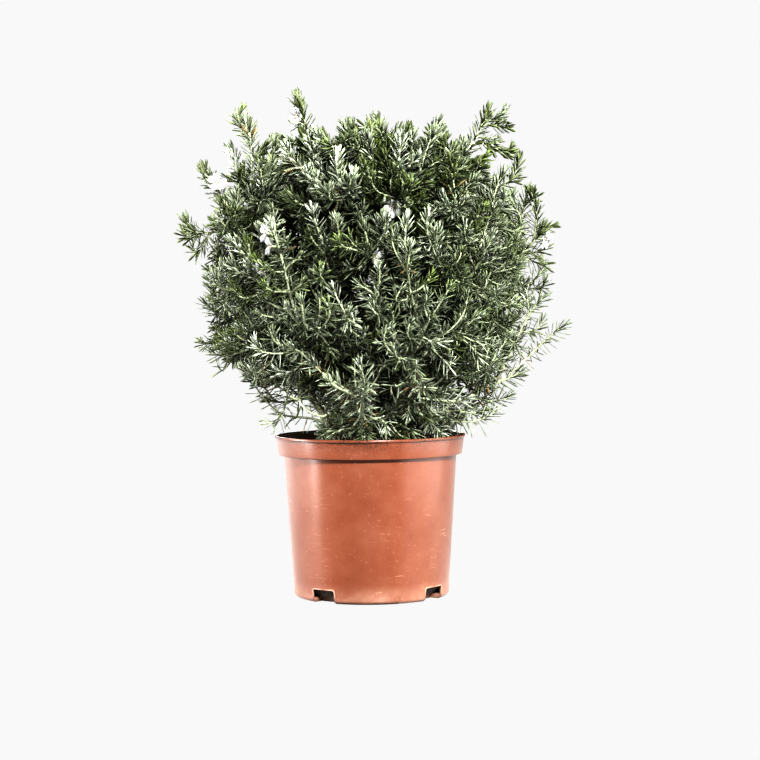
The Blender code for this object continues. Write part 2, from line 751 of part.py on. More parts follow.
def make_bloom(number, base, axis, along, finish):
    throat = base + axis * BLOOM_TUBE_LENGTH
    path = [base, throat, throat + axis * BLOOM_THROAT_RISE]
    radii = [BLOOM_TUBE_RADIUS, BLOOM_THROAT_RADIUS, 0]
    tube = tube_mesh(path, radii, BLOOM_TUBE_SIDES)
    bloom = add_object(f"bloom_{number + 1:02d}", tube, finish)
    up = (along - axis * along.dot(axis)).normalized()
    right = up.cross(axis)
    petals = []
    for angle, lift in zip(PETAL_ANGLES, PETAL_LIFTS):
        out = right * math.cos(angle) + up * math.sin(angle)
        petals.append(add_object("petal", petal_mesh(throat, axis, out, lift)))
    combine(bloom, petals, 'UNION')
    keep_largest_body(bloom)


def reserve_bloom(space, owner, base, axis, along):
    """Keep the space that a bloom fills free of leaves."""
    throat = base + axis * BLOOM_TUBE_LENGTH
    up = (along - axis * along.dot(axis)).normalized()
    right = up.cross(axis)
    centres, sizes = spheres_along([base, throat], [BLOOM_TUBE_RADIUS, BLOOM_THROAT_RADIUS])
    space.add(centres, sizes, owner, 0)
    for angle, lift in zip(PETAL_ANGLES, PETAL_LIFTS):
        out = right * math.cos(angle) + up * math.sin(angle) + axis * math.tan(lift)
        end = throat + out.normalized() * (PETAL_LENGTH - PETAL_WIDTH / 2)
        space.add(*spheres_along([throat, end], [BLOOM_TUBE_RADIUS, PETAL_WIDTH / 2]), owner, 0)


def main():
    clear_scene()
    space = Space()
    stems = grow_stems(space)
    make_pot()
    make_soil(stems)
    blooms = [bloom_frame(stems, Vector(place) / 1000) for place in BLOOM_PLACES]
    for number, bloom in enumerate(blooms):
        reserve_bloom(space, STEM_COUNT + number, *bloom)
    leaf_finish = material("grey_green_leaf", (0.13, 0.17, 0.09), 0.6)
    for stem in stems:
        make_stem(space, stem, leaf_finish)
    bloom_finish = material("white_petal", (0.85, 0.86, 0.84), 0.6)
    for number, bloom in enumerate(blooms):
        make_bloom(number, *bloom, bloom_finish)


main()
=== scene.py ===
import json
import math
import random

import bmesh
import bpy
import numpy as np
from mathutils import Matrix, Vector, noise

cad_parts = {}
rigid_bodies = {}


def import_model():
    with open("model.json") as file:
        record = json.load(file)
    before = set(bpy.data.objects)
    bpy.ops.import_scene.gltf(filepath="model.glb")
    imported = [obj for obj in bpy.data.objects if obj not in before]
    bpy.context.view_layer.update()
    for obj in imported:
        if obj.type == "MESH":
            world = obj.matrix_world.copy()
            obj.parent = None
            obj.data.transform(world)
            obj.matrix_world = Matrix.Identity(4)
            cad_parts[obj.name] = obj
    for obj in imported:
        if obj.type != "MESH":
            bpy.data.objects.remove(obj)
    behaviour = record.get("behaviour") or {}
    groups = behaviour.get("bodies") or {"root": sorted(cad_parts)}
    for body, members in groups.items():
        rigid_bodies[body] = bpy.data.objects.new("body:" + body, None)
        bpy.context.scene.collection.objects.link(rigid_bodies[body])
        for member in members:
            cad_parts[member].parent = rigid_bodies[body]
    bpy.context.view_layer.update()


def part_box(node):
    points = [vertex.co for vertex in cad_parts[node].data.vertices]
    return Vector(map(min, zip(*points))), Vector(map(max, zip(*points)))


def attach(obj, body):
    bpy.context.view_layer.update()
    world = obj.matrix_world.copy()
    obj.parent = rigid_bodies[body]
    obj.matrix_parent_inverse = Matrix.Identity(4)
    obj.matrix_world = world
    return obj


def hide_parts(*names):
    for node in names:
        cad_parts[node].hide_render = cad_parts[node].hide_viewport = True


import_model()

# Pot
# A round nursery pot, injection-moulded in one piece from terracotta-coloured polypropylene: a lip
# and a collar to grip and stack it by, a tapered wall, a rounded foot and four drainage notches
# with a thin moulded bead round each. It has been used, so it is dusty, scuffed and splashed.

QUARTER = math.pi / 2
POT_TURN = 144
POT_WALL = 0.0016
POT_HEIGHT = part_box("pot")[1].z
LIP_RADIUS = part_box("pot")[1].x
LIP_DEPTH = 0.0030
LIP_ROUND = 0.0011
LIP_GROOVE = 0.0004
BAND_TOP_RADIUS = LIP_RADIUS - 0.0010
BAND_FOOT_RADIUS = LIP_RADIUS - 0.0034
BAND_FOOT_HEIGHT = 0.1415
BAND_ROUND = 0.0012
WALL_TOP_RADIUS = 0.0862
WALL_FOOT_RADIUS = 0.0774
FOOT_ROUND = 0.0045
FOOT_RING_INNER_RADIUS = 0.058
FOOT_PAD_RADIUS = 0.014
BASE_RECESS = 0.0030
NOTCH_COUNT = 4
NOTCH_WIDTH = 0.0262
NOTCH_HEIGHT = 0.0132
NOTCH_DEPTH = 0.0140
NOTCH_ROUND = 0.0022
NOTCH_OVERCUT = 0.0030
NOTCH_BEAD = 0.0008
NOTCH_FOOT = FOOT_ROUND * 0.4
FIRST_NOTCH_ANGLE = math.radians(-90 - 37.5)
FOOT_STEPS = 8
WALL_STEPS = 12
EDGE_STEPS = 4
NOTCH_STEPS = 5
BEAD_SIDES = 8
SHARP_EDGE = math.radians(34)

PLASTIC_COLOURS = (0.176, 0.052, 0.0245), (0.199, 0.064, 0.031)
DUST_AND_HIGHLIGHT_COLOUR = (0.58, 0.38, 0.29)
DUSTY_HEIGHT = 0.024
SCUFF_COLOUR = (0.80, 0.50, 0.36)
COLLAR_PAINTED_SHADE = (0.11, 0.03, 0.016)
COLLAR_SOIL = (0.030, 0.016, 0.010)
GRIME_AND_SHADE_COLOUR = (0.055, 0.026, 0.016)
BEAD_PAINTED_HIGHLIGHT = 0.45
# Splashes on the wall: their scale, share, cluster scale, colour and strength
SPLASHES = [(420.0, 0.16, 14.0, (0.75, 0.50, 0.38), 0.15), (520.0, 0.10, 22.0, (0.14, 0.05, 0.03), 0.6)]
# Dark lines under the lip, under the collar and round the foot, grime and painted shade: their height, half
# width, break scale and strength
GROOVES = [(POT_HEIGHT - LIP_DEPTH - 0.0005, 0.0014, 38.0, 0.85),
           (BAND_FOOT_HEIGHT - 0.0002, 0.0008, 24.0, 0.25), (0.0, 0.0032, 50.0, 0.75)]


def add_node(tree, kind, inputs=None, **settings):
    """A node with its settings, and each input linked to a socket or set to a value."""
    node = tree.nodes.new(kind)
    for name, value in settings.items():
        setattr(node, name, value)
    for key, value in (inputs or {}).items():
        if isinstance(value, bpy.types.NodeSocket):
            tree.links.new(value, node.inputs[key])
        else:
            node.inputs[key].default_value = value
    return node


def new_group(name, kind, inputs, output):
    """An empty node group with named inputs and one output: its tree, its inputs and its output node."""
    tree = bpy.data.node_groups.new(name, kind)
    for label, socket, value in inputs:
        made = tree.interface.new_socket(label, in_out='INPUT', socket_type="NodeSocket" + socket)
        if value is not None:
            made.default_value = value
    label, socket = output
    tree.interface.new_socket(label, in_out='OUTPUT', socket_type="NodeSocket" + socket)
    start = tree.nodes.new("NodeGroupInput")
    end = tree.nodes.new("NodeGroupOutput")
    return tree, start.outputs, end


def use_group(tree, group, inputs):
    """The mask of a shader group placed in a material."""
    return add_node(tree, "ShaderNodeGroup", inputs, node_tree=group).outputs["Mask"]


def new_material(name, roughness=0.5):
    """A material's tree and its Principled BSDF."""
    material = bpy.data.materials.new(name)
    material.use_nodes = True
    shader = material.node_tree.nodes["Principled BSDF"]
    shader.inputs["Roughness"].default_value = roughness
    return material, material.node_tree, shader


def object_place(tree):
    """Where a point lies on the piece's own coordinates."""
    return add_node(tree, "ShaderNodeTexCoord").outputs["Object"]


def noise_at(tree, place, scale, detail=2.0, roughness=0.5):
    """A cloudy noise between 0 and 1."""
    inputs = {"Vector": place, "Scale": scale, "Detail": detail, "Roughness": roughness}
    return add_node(tree, "ShaderNodeTexNoise", inputs).outputs[0]


def calculate(tree, operation, *values, clamp=False):
    node = add_node(tree, "ShaderNodeMath", dict(enumerate(values)), operation=operation, use_clamp=clamp)
    return node.outputs[0]


def times(tree, first, second):
    return calculate(tree, 'MULTIPLY', first, second)


def mix_colours(tree, share, *colours):
    """A mix of two colours, each a socket or red, green and blue."""
    sockets = [colour if isinstance(colour, bpy.types.NodeSocket) else (*colour, 1) for colour in colours]
    inputs = {0: share, 6: sockets[0], 7: sockets[1]}
    return add_node(tree, "ShaderNodeMix", inputs, data_type='RGBA').outputs[2]


def lay_over(tree, colour, coat, mask, strength):
    """A colour with a coat of another where a mask says, at some strength."""
    return mix_colours(tree, times(tree, mask, strength), colour, coat)


def add_bump(tree, shader, height, strength, distance):
    bump = add_node(tree, "ShaderNodeBump", {"Height": height, "Strength": strength, "Distance": distance})
    tree.links.new(bump.outputs[0], shader.inputs["Normal"])


def ramp_between(tree, value, low, high, to_low=0.0, to_high=1.0):
    """A smooth step of a value from one level to another."""
    inputs = {"Value": value, "From Min": low, "From Max": high, "To Min": to_low, "To Max": to_high}
    return add_node(tree, "ShaderNodeMapRange", inputs, interpolation_type='SMOOTHSTEP').outputs[0]


def add_piece(name, mesh, *materials):
    thing = bpy.data.objects.new(name, mesh)
    bpy.context.scene.collection.objects.link(thing)
    for material in materials:
        mesh.materials.append(material)
    return thing


def seat(thing, slot, *nodes):
    """The piece rides on the plant's one body and replaces CAD nodes; its slot is not used."""
    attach(thing, "root")
    if nodes:
        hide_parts(*nodes)


def bake_modifiers(thing):
    """The object with its modifiers turned into a plain mesh."""
    bpy.context.view_layer.update()
    evaluated = thing.evaluated_get(bpy.context.evaluated_depsgraph_get())
    mesh = bpy.data.meshes.new_from_object(evaluated)
    thing.modifiers.clear()
    thing.data = mesh


def arc(centre, radius, start, end, steps):
    """Points of (radius, height) round part of a circle, from one angle to another."""
    angles = [start + (end - start) * step / steps for step in range(steps + 1)]
    return [(centre[0] + radius * math.cos(a), centre[1] + radius * math.sin(a)) for a in angles]


def finished_mesh(name, shape):
    """The mesh of a shape, with its faces turned outward."""
    bmesh.ops.recalc_face_normals(shape, faces=shape.faces)
    mesh = bpy.data.meshes.new(name)
    shape.to_mesh(mesh)
    shape.free()
    return mesh


def turned_mesh(name, profile, sides):
    """A closed solid turned about Z from a profile of (radius, height) that ends on the axis."""
    shape = bmesh.new()
    rings = []
    for radius, height in profile:
        turns = [2 * math.pi * side / sides for side in range(sides if radius else 1)]
        corners = [(radius * math.cos(turn), radius * math.sin(turn), height) for turn in turns]
        rings.append([shape.verts.new(corner) for corner in corners])
    for lower, upper in zip(rings, rings[1:]):
        for side in range(sides):
            after = (side + 1) % sides
            if len(lower) == 1:
                shape.faces.new((lower[0], upper[side], upper[after]))
            elif len(upper) == 1:
                shape.faces.new((lower[side], lower[after], upper[0]))
            else:
                shape.faces.new((lower[side], lower[after], upper[after], upper[side]))
    return finished_mesh(name, shape)


def pot_profile():
    """Up the outside from the middle of the foot to the rim, and down the inside to the middle."""
    lip_foot = POT_HEIGHT - LIP_DEPTH
    lip_centre = POT_HEIGHT - LIP_ROUND
    groove = BAND_TOP_RADIUS - LIP_GROOVE
    profile = [(0, 0), (FOOT_PAD_RADIUS, 0), (FOOT_PAD_RADIUS + BASE_RECESS, BASE_RECESS)]
    profile += [(FOOT_RING_INNER_RADIUS, BASE_RECESS), (FOOT_RING_INNER_RADIUS + BASE_RECESS, 0)]
    profile += arc((WALL_FOOT_RADIUS - FOOT_ROUND, FOOT_ROUND), FOOT_ROUND, -QUARTER, 0, FOOT_STEPS)
    foot = profile[-1]
    for step in range(1, WALL_STEPS):
        share = step / WALL_STEPS
        height = foot[1] + (BAND_FOOT_HEIGHT - foot[1]) * share
        profile.append((foot[0] + (WALL_TOP_RADIUS - foot[0]) * share, height))
    profile += [(WALL_TOP_RADIUS, BAND_FOOT_HEIGHT)]
    edges = [((BAND_FOOT_RADIUS - BAND_ROUND, BAND_FOOT_HEIGHT + BAND_ROUND), BAND_ROUND, -QUARTER, 0),
             ((LIP_RADIUS - LIP_ROUND, lip_foot + LIP_ROUND), LIP_ROUND, -QUARTER, 0),
             ((LIP_RADIUS - LIP_ROUND, lip_centre), LIP_ROUND, 0, QUARTER),
             ((BAND_TOP_RADIUS - POT_WALL + LIP_ROUND, lip_centre), LIP_ROUND, QUARTER, 2 * QUARTER)]
    rounded = [arc(*edge, EDGE_STEPS) for edge in edges]
    profile += rounded[0] + [(groove, lip_foot - LIP_ROUND), (groove, lip_foot)]
    profile += rounded[1] + rounded[2] + rounded[3]
    profile += [(BAND_FOOT_RADIUS - POT_WALL, BAND_FOOT_HEIGHT + POT_WALL)]
    profile += [(WALL_TOP_RADIUS - POT_WALL, BAND_FOOT_HEIGHT + POT_WALL)]
    profile += [(WALL_FOOT_RADIUS - POT_WALL, BASE_RECESS + POT_WALL), (0, BASE_RECESS + POT_WALL)]
    return profile


def notch_outline(grow=0.0):
    """The notch seen from outside, as points of (across, height) from one foot up and round."""
    half = NOTCH_WIDTH / 2 + grow
    top = NOTCH_HEIGHT - NOTCH_ROUND
    radius = NOTCH_ROUND + grow
    outline = [(half, NOTCH_FOOT), (half, top)]
    outline += arc((half - radius, top), radius, 0, QUARTER, NOTCH_STEPS)[1:]
    outline += arc((radius - half, top), radius, QUARTER, 2 * QUARTER, NOTCH_STEPS)
    return outline + [(-half, NOTCH_FOOT)]


def notch_cutter(turn):
    """A block with rounded upper corners that opens the foot of the wall and the base behind it."""
    half = NOTCH_WIDTH / 2
    outline = [(half, -NOTCH_OVERCUT)] + notch_outline()[1:-1] + [(-half, -NOTCH_OVERCUT)]
    shape = bmesh.new()
    near, far = [], []
    for across, height in outline:
        near.append(shape.verts.new((WALL_FOOT_RADIUS - NOTCH_DEPTH, across, height)))
        far.append(shape.verts.new((WALL_FOOT_RADIUS + NOTCH_OVERCUT, across, height)))
    shape.faces.new(near)
    shape.faces.new(far)
    for index in range(len(outline)):
        after = (index + 1) % len(outline)
        shape.faces.new((near[index], near[after], far[after], far[index]))
    shape.transform(Matrix.Rotation(turn, 4, 'Z'))
    return add_piece("notch_cutter", finished_mesh("notch_cutter", shape))


def wall_radius(height):
    """The outside radius of the wall, and of the foot's rounded edge below it."""
    if height < FOOT_ROUND:
        drop = FOOT_ROUND - height
        return WALL_FOOT_RADIUS - FOOT_ROUND + math.sqrt(FOOT_ROUND ** 2 - drop ** 2)
    slope = (WALL_TOP_RADIUS - WALL_FOOT_RADIUS) / (BAND_FOOT_HEIGHT - FOOT_ROUND)
    return WALL_FOOT_RADIUS + slope * (height - FOOT_ROUND)


def tube_mesh(name, path, radii, sides):
    """A tube along a path with both ends closed to a point."""
    shape = bmesh.new()
    rings = []
    ends = [path[0]] + list(path) + [path[-1]]
    tangents = [(after - before).normalized() for before, after in zip(ends, ends[2:])]
    side = tangents[0].orthogonal().normalized()
    for point, tangent, radius in zip(path, tangents, radii):
        side = (side - tangent * side.dot(tangent)).normalized()
        other = tangent.cross(side)
        turns = [2 * math.pi * step / sides for step in range(sides)]
        rings.append([shape.verts.new(point + (side * math.cos(a) + other * math.sin(a)) * radius)
                      for a in turns])
    for lower, upper in zip(rings, rings[1:]):
        for step in range(sides):
            after = (step + 1) % sides
            shape.faces.new((lower[step], lower[after], upper[after], upper[step]))
    for ring, point in ((rings[0], path[0]), (rings[-1], path[-1])):
        end = shape.verts.new(point)
        for step in range(sides):
            shape.faces.new((ring[step], ring[(step + 1) % sides], end))
    return finished_mesh(name, shape)


def notch_bead(turn):
    """The moulded bead round a notch, lying on the wall."""
    path = []
    for across, height in notch_outline(NOTCH_BEAD / 2):
        radius = wall_radius(height)
        angle = turn + math.asin(across / radius)
        path.append(Vector((radius * math.cos(angle), radius * math.sin(angle), height)))
    return tube_mesh("bead", path, [NOTCH_BEAD] * len(path), BEAD_SIDES)


def join_meshes(name, meshes):
    """Several closed meshes in one."""
    shape = bmesh.new()
    for mesh in meshes:
        shape.from_mesh(mesh)
    return finished_mesh(name, shape)


def grime_and_shade_group():
    """A dark line at a height, broken up by noise: grime and painted shade in a groove."""
    inputs = [("Height", 'Float', 0.0), ("Level", 'Float', 0.1),
              ("Half Width", 'Float', 0.001), ("Place", 'Vector', None),
              ("Break Scale", 'Float', 60.0)]
    tree, given, end = new_group("grime_and_shade_line", 'ShaderNodeTree', inputs, ("Mask", 'Float'))
    apart = calculate(tree, 'ABSOLUTE', calculate(tree, 'SUBTRACT', given["Height"], given["Level"]))
    share = calculate(tree, 'DIVIDE', apart, given["Half Width"])
    line = ramp_between(tree, share, 0.2, 1.0, 1.0, 0.0)
    clouds = noise_at(tree, given["Place"], given["Break Scale"], 4.0, 0.6)
    broken = ramp_between(tree, clouds, 0.36, 0.62)
    tree.links.new(times(tree, line, broken), end.inputs[0])
    return tree


def specks_group():
    """Small scattered specks: splashes, dust grains or flecks."""
    inputs = [("Place", 'Vector', None), ("Scale", 'Float', 300.0),
              ("Share", 'Float', 0.1), ("Cluster Scale", 'Float', 20.0)]
    tree, given, end = new_group("specks", 'ShaderNodeTree', inputs, ("Mask", 'Float'))
    grains = noise_at(tree, given["Place"], given["Scale"], 1.5)
    clusters = noise_at(tree, given["Place"], given["Cluster Scale"])
    wanted = times(tree, clusters, given["Share"])
    level = calculate(tree, 'SUBTRACT', 0.78, wanted)
    above = calculate(tree, 'SUBTRACT', grains, level)
    mask = calculate(tree, 'MULTIPLY', above, 22.0, clamp=True)
    tree.links.new(mask, end.inputs[0])
    return tree


grime_and_shade_line = grime_and_shade_group()
specks = specks_group()


def plastic_material(name, painted_highlight):
    """Satin terracotta plastic with dust, splashes and scuffs, grime and painted shade in its grooves,
    painted shade on its collar, and a painted highlight where asked.
    """
    material, tree, shader = new_material(name)
    place = object_place(tree)
    height = add_node(tree, "ShaderNodeSeparateXYZ", {0: place}).outputs["Z"]
    clouds = noise_at(tree, place, 24.0, 8.0, 0.7)
    colour = mix_colours(tree, ramp_between(tree, clouds, 0.2, 0.8), *PLASTIC_COLOURS)
    low = ramp_between(tree, height, 0.0, DUSTY_HEIGHT, 1.0, 0.0)
    lower = times(tree, low, ramp_between(tree, clouds, 0.25, 0.65, 0.08, 0.42))
    film = times(tree, ramp_between(tree, clouds, 0.30, 0.80), 0.06)
    # Dust near the foot and in a faint film makes the colour paler; so does the painted highlight, where
    # asked
    dust_and_highlight = calculate(tree, 'ADD', calculate(tree, 'MAXIMUM', lower, film), painted_highlight, clamp=True)
    colour = mix_colours(tree, dust_and_highlight, colour, DUST_AND_HIGHLIGHT_COLOUR)
    flat = add_node(tree, "ShaderNodeMapping", {"Vector": place, "Scale": (60, 60, 900)}).outputs[0]
    scratches = ramp_between(tree, noise_at(tree, flat, 1.0, 3.0), 0.60, 0.72)
    patches = ramp_between(tree, noise_at(tree, place, 26.0, 1.0), 0.56, 0.70)
    colour = lay_over(tree, colour, SCUFF_COLOUR, times(tree, scratches, patches), 0.34)
    for scale, share, cluster_scale, splash, strength in SPLASHES:
        mask = use_group(tree, specks, {"Place": place, "Scale": scale, "Share": share,
                                        "Cluster Scale": cluster_scale})
        colour = lay_over(tree, colour, splash, mask, strength)
    soiled = use_group(tree, specks, {"Place": place, "Scale": 700.0, "Share": 0.46, "Cluster Scale": 30.0})
    # Painted shade: the collar is darkened, more so towards the lip; soil specks then lie on it
    collar = ramp_between(tree, height, BAND_FOOT_HEIGHT + 0.004, POT_HEIGHT - LIP_DEPTH)
    colour = lay_over(tree, colour, COLLAR_PAINTED_SHADE, collar, 0.25)
    colour = lay_over(tree, colour, COLLAR_SOIL, times(tree, soiled, collar), 0.8)
    # Painted shade with grime: dark lines under the lip, under the collar and round the foot
    grime_and_shade = 0.0
    for level, half_width, break_scale, strength in GROOVES:
        line = use_group(tree, grime_and_shade_line, {"Height": height, "Level": level, "Half Width": half_width,
                                            "Place": place, "Break Scale": break_scale})
        grime_and_shade = calculate(tree, 'MAXIMUM', grime_and_shade, times(tree, line, strength))
    colour = mix_colours(tree, grime_and_shade, colour, GRIME_AND_SHADE_COLOUR)
    tree.links.new(colour, shader.inputs["Base Color"])
    rough = ramp_between(tree, dust_and_highlight, 0.0, 0.6, 0.24, 0.60)
    rough = calculate(tree, 'ADD', rough, times(tree, clouds, 0.10))
    tree.links.new(rough, shader.inputs["Roughness"])
    peel = noise_at(tree, place, 1400.0)
    waves = noise_at(tree, place, 34.0, 1.0)
    add_bump(tree, shader, calculate(tree, 'ADD', times(tree, peel, 0.05), waves), 0.25, 0.0006)
    return material


def make_pot():
    shell = add_piece("pot_shell", turned_mesh("pot_shell", pot_profile(), POT_TURN))
    turns = [FIRST_NOTCH_ANGLE + QUARTER * number for number in range(NOTCH_COUNT)]
    for turn in turns:
        cutter = notch_cutter(turn)
        boolean = shell.modifiers.new("notch", 'BOOLEAN')
        boolean.object = cutter
        boolean.operation = 'DIFFERENCE'
        boolean.solver = 'EXACT'
        bake_modifiers(shell)
        bpy.data.objects.remove(cutter, do_unlink=True)
    shell.data.shade_smooth()
    shell.data.set_sharp_from_angle(angle=SHARP_EDGE)
    shell.data.materials.append(plastic_material("terracotta_plastic", 0.0))
    seat(shell, "pot_plastic", "pot")
    beads = join_meshes("notch_beads", [notch_bead(turn) for turn in turns])
    beads.shade_smooth()
    # The beads take the plastic painted paler: a painted highlight along the notches' edges
    seat(add_piece("notch_beads", beads, plastic_material("bead_painted_highlight", BEAD_PAINTED_HIGHLIGHT)), "pot_plastic")


make_pot()

# Soil
# The root ball: dark peaty potting mix that fills the pot to a centimetre below the rim, with loose
# crumbs, bark chips and a few white perlite grains on top, where the stems leave it.

SEAT_GAP = 0.0003
SOIL_EDGE_HEIGHT = 0.1510
SOIL_MOUND = 0.0030
SOIL_BUMP = 0.0013
SOIL_BUMP_SCALE = 70.0
SOIL_FINE_BUMP = 0.0005
SOIL_FINE_SCALE = 340.0
SOIL_RINGS = 34
SOIL_FOOT_TAPER = 0.0080
SOIL_FOOT_TAPER_HEIGHT = 0.0150
SOIL_EDGE_DROP = 0.002
SOIL_SEED = 5
CRUMB_SIZE = 0.0016
CRUMB_LIFT = CRUMB_SIZE * 0.15
CRUMB_MARGIN = 0.004
LUMP_ROUGHNESS = 0.7
LUMP_NOISE_SCALE = 1.7
UPWARD = 0.5
# Loose pieces on top: how many lie on a square metre, their least and most size, and their shapes
CRUMBS = (42000.0, (0.35, 1.35), [(1, 1, 0.8), (1.3, 0.8, 0.7), (0.9, 1, 1)])
PERLITE = (1300.0, (0.4, 1.0), [(1, 0.9, 0.8), (0.8, 1, 0.9)])
BARK_CHIPS = (2600.0, (0.6, 1.6), [(2.6, 1.0, 0.4), (1.8, 1.2, 0.35), (3.2, 0.6, 0.4)])

PEAT_COLOURS = (0.010, 0.007, 0.005), (0.050, 0.030, 0.019)
FIBRE_COLOUR = (0.13, 0.085, 0.055)
PERLITE_COLOURS = (0.62, 0.60, 0.55), (0.45, 0.42, 0.36)
BARK_CHIP_COLOURS = (0.10, 0.055, 0.030), (0.22, 0.14, 0.09)


def soil_height(radius):
    return SOIL_EDGE_HEIGHT + SOIL_MOUND * (1 - (radius / BAND_FOOT_RADIUS) ** 2)


def soil_material():
    """Peat, clouded between nearly black and brown, with paler fibres."""
    material, tree, shader = new_material("potting_mix", 0.95)
    place = object_place(tree)
    clouds = noise_at(tree, place, 55.0, 6.0)
    colour = mix_colours(tree, ramp_between(tree, clouds, 0.35, 0.7), *PEAT_COLOURS)
    fibres = use_group(tree, specks, {"Place": place, "Scale": 600.0, "Share": 0.35, "Cluster Scale": 90.0})
    colour = lay_over(tree, colour, FIBRE_COLOUR, fibres, 0.6)
    tree.links.new(colour, shader.inputs["Base Color"])
    add_bump(tree, shader, noise_at(tree, place, 900.0, 3.0), 0.8, 0.0006)
    return material


def plain_material(name, colours, scale, roughness):
    """A dull material clouded between two colours."""
    material, tree, shader = new_material(name, roughness)
    clouds = noise_at(tree, object_place(tree), scale, 3.0)
    mixed = mix_colours(tree, ramp_between(tree, clouds, 0.35, 0.65), *colours)
    tree.links.new(mixed, shader.inputs["Base Color"])
    return material


def lump_mesh(name, size, stretch, seed):
    """A small uneven lump."""
    shape = bmesh.new()
    bmesh.ops.create_icosphere(shape, subdivisions=1, radius=1)
    for vert in shape.verts:
        swell = 1 + LUMP_ROUGHNESS * noise.noise(vert.co * LUMP_NOISE_SCALE + Vector((seed, 0, 0)))
        vert.co = Vector(part * side for part, side in zip(vert.co, stretch)) * size * swell
    return finished_mesh(name, shape)


def scatter_tree():
    """Geometry nodes: pieces of a collection lying at random on the upward faces of a surface."""
    inputs = [("Geometry", 'Geometry', None), ("Pieces", 'Collection', None), ("Density", 'Float', 1000.0),
              ("Least Size", 'Float', 0.5), ("Most Size", 'Float', 1.5), ("Tilt", 'Float', math.pi),
              ("Height", 'Float', 0.0), ("Reach", 'Float', 0.09), ("Seed", 'Int', 0),
              ("Material", 'Material', None)]
    tree, given, end = new_group("scatter_on_soil", 'GeometryNodeTree', inputs, ("Geometry", 'Geometry'))
    normal = add_node(tree, "GeometryNodeInputNormal").outputs[0]
    up = add_node(tree, "ShaderNodeSeparateXYZ", {0: normal}).outputs["Z"]
    place = add_node(tree, "GeometryNodeInputPosition").outputs[0]
    parts = add_node(tree, "ShaderNodeSeparateXYZ", {0: place}).outputs
    reach = add_node(tree, "ShaderNodeCombineXYZ", {0: parts[0], 1: parts[1]}).outputs[0]
    reach = add_node(tree, "ShaderNodeVectorMath", {0: reach}, operation='LENGTH').outputs["Value"]
    upward = calculate(tree, 'GREATER_THAN', up, UPWARD)
    within = calculate(tree, 'LESS_THAN', reach, given["Reach"])
    points = add_node(tree, "GeometryNodeDistributePointsOnFaces", {
        "Mesh": given["Geometry"], "Selection": times(tree, upward, within), "Density": given["Density"],
        "Seed": given["Seed"]}).outputs["Points"]
    raised = add_node(tree, "ShaderNodeCombineXYZ", {2: given["Height"]}).outputs[0]
    points = add_node(tree, "GeometryNodeSetPosition", {"Geometry": points, "Offset": raised}).outputs[0]
    source = add_node(tree, "GeometryNodeCollectionInfo", {
        "Collection": given["Pieces"], "Separate Children": True, "Reset Children": True}).outputs[0]
    tilt = given["Tilt"]
    tilt_back = times(tree, tilt, -1.0)
    least = add_node(tree, "ShaderNodeCombineXYZ", {0: tilt_back, 1: tilt_back}).outputs[0]
    most = add_node(tree, "ShaderNodeCombineXYZ", {0: tilt, 1: tilt, 2: 2 * math.pi}).outputs[0]
    spin = add_node(tree, "FunctionNodeRandomValue", {0: least, 1: most, "Seed": given["Seed"]},
                    data_type='FLOAT_VECTOR').outputs[0]
    size = add_node(tree, "FunctionNodeRandomValue", {
        2: given["Least Size"], 3: given["Most Size"], "Seed": given["Seed"]}, data_type='FLOAT').outputs[1]
    placed = add_node(tree, "GeometryNodeInstanceOnPoints", {
        "Points": points, "Instance": source, "Pick Instance": True, "Rotation": spin, "Scale": size})
    real = add_node(tree, "GeometryNodeRealizeInstances", {"Geometry": placed.outputs[0]}).outputs[0]
    coated = add_node(tree, "GeometryNodeSetMaterial", {"Geometry": real, "Material": given["Material"]})
    tree.links.new(coated.outputs[0], end.inputs[0])
    return tree


scatter_on_soil = scatter_tree()


def grow_by_nodes(name, mesh, tree, values):
    """A piece made by a geometry nodes tree from a mesh, as a plain mesh object."""
    thing = add_piece(name, mesh)
    modifier = thing.modifiers.new(tree.name, 'NODES')
    modifier.node_group = tree
    sockets = {item.name: item.identifier for item in tree.interface.items_tree
               if item.item_type == 'SOCKET' and item.in_out == 'INPUT'}
    for label, value in values.items():
        modifier[sockets[label]] = value
    bake_modifiers(thing)
    return thing


def kept_aside(name, meshes):
    """A collection of source pieces for a tree to copy."""
    group = bpy.data.collections.new(name)
    bpy.context.scene.collection.children.link(group)
    for number, mesh in enumerate(meshes):
        group.objects.link(bpy.data.objects.new(f"{name}_{number}", mesh))
    return group


def drop_collection(group):
    for thing in list(group.objects):
        bpy.data.objects.remove(thing, do_unlink=True)
    bpy.data.collections.remove(group)


def scatter(name, ground, meshes, sizes, values):
    """Loose pieces of a few shapes that lie on the soil, all in one piece."""
    source = kept_aside(name + "_source", meshes)
    values = {"Pieces": source, "Least Size": sizes[0], "Most Size": sizes[1], **values}
    made = grow_by_nodes(name, ground.copy(), scatter_on_soil, values)
    drop_collection(source)
    seat(made, "soil")


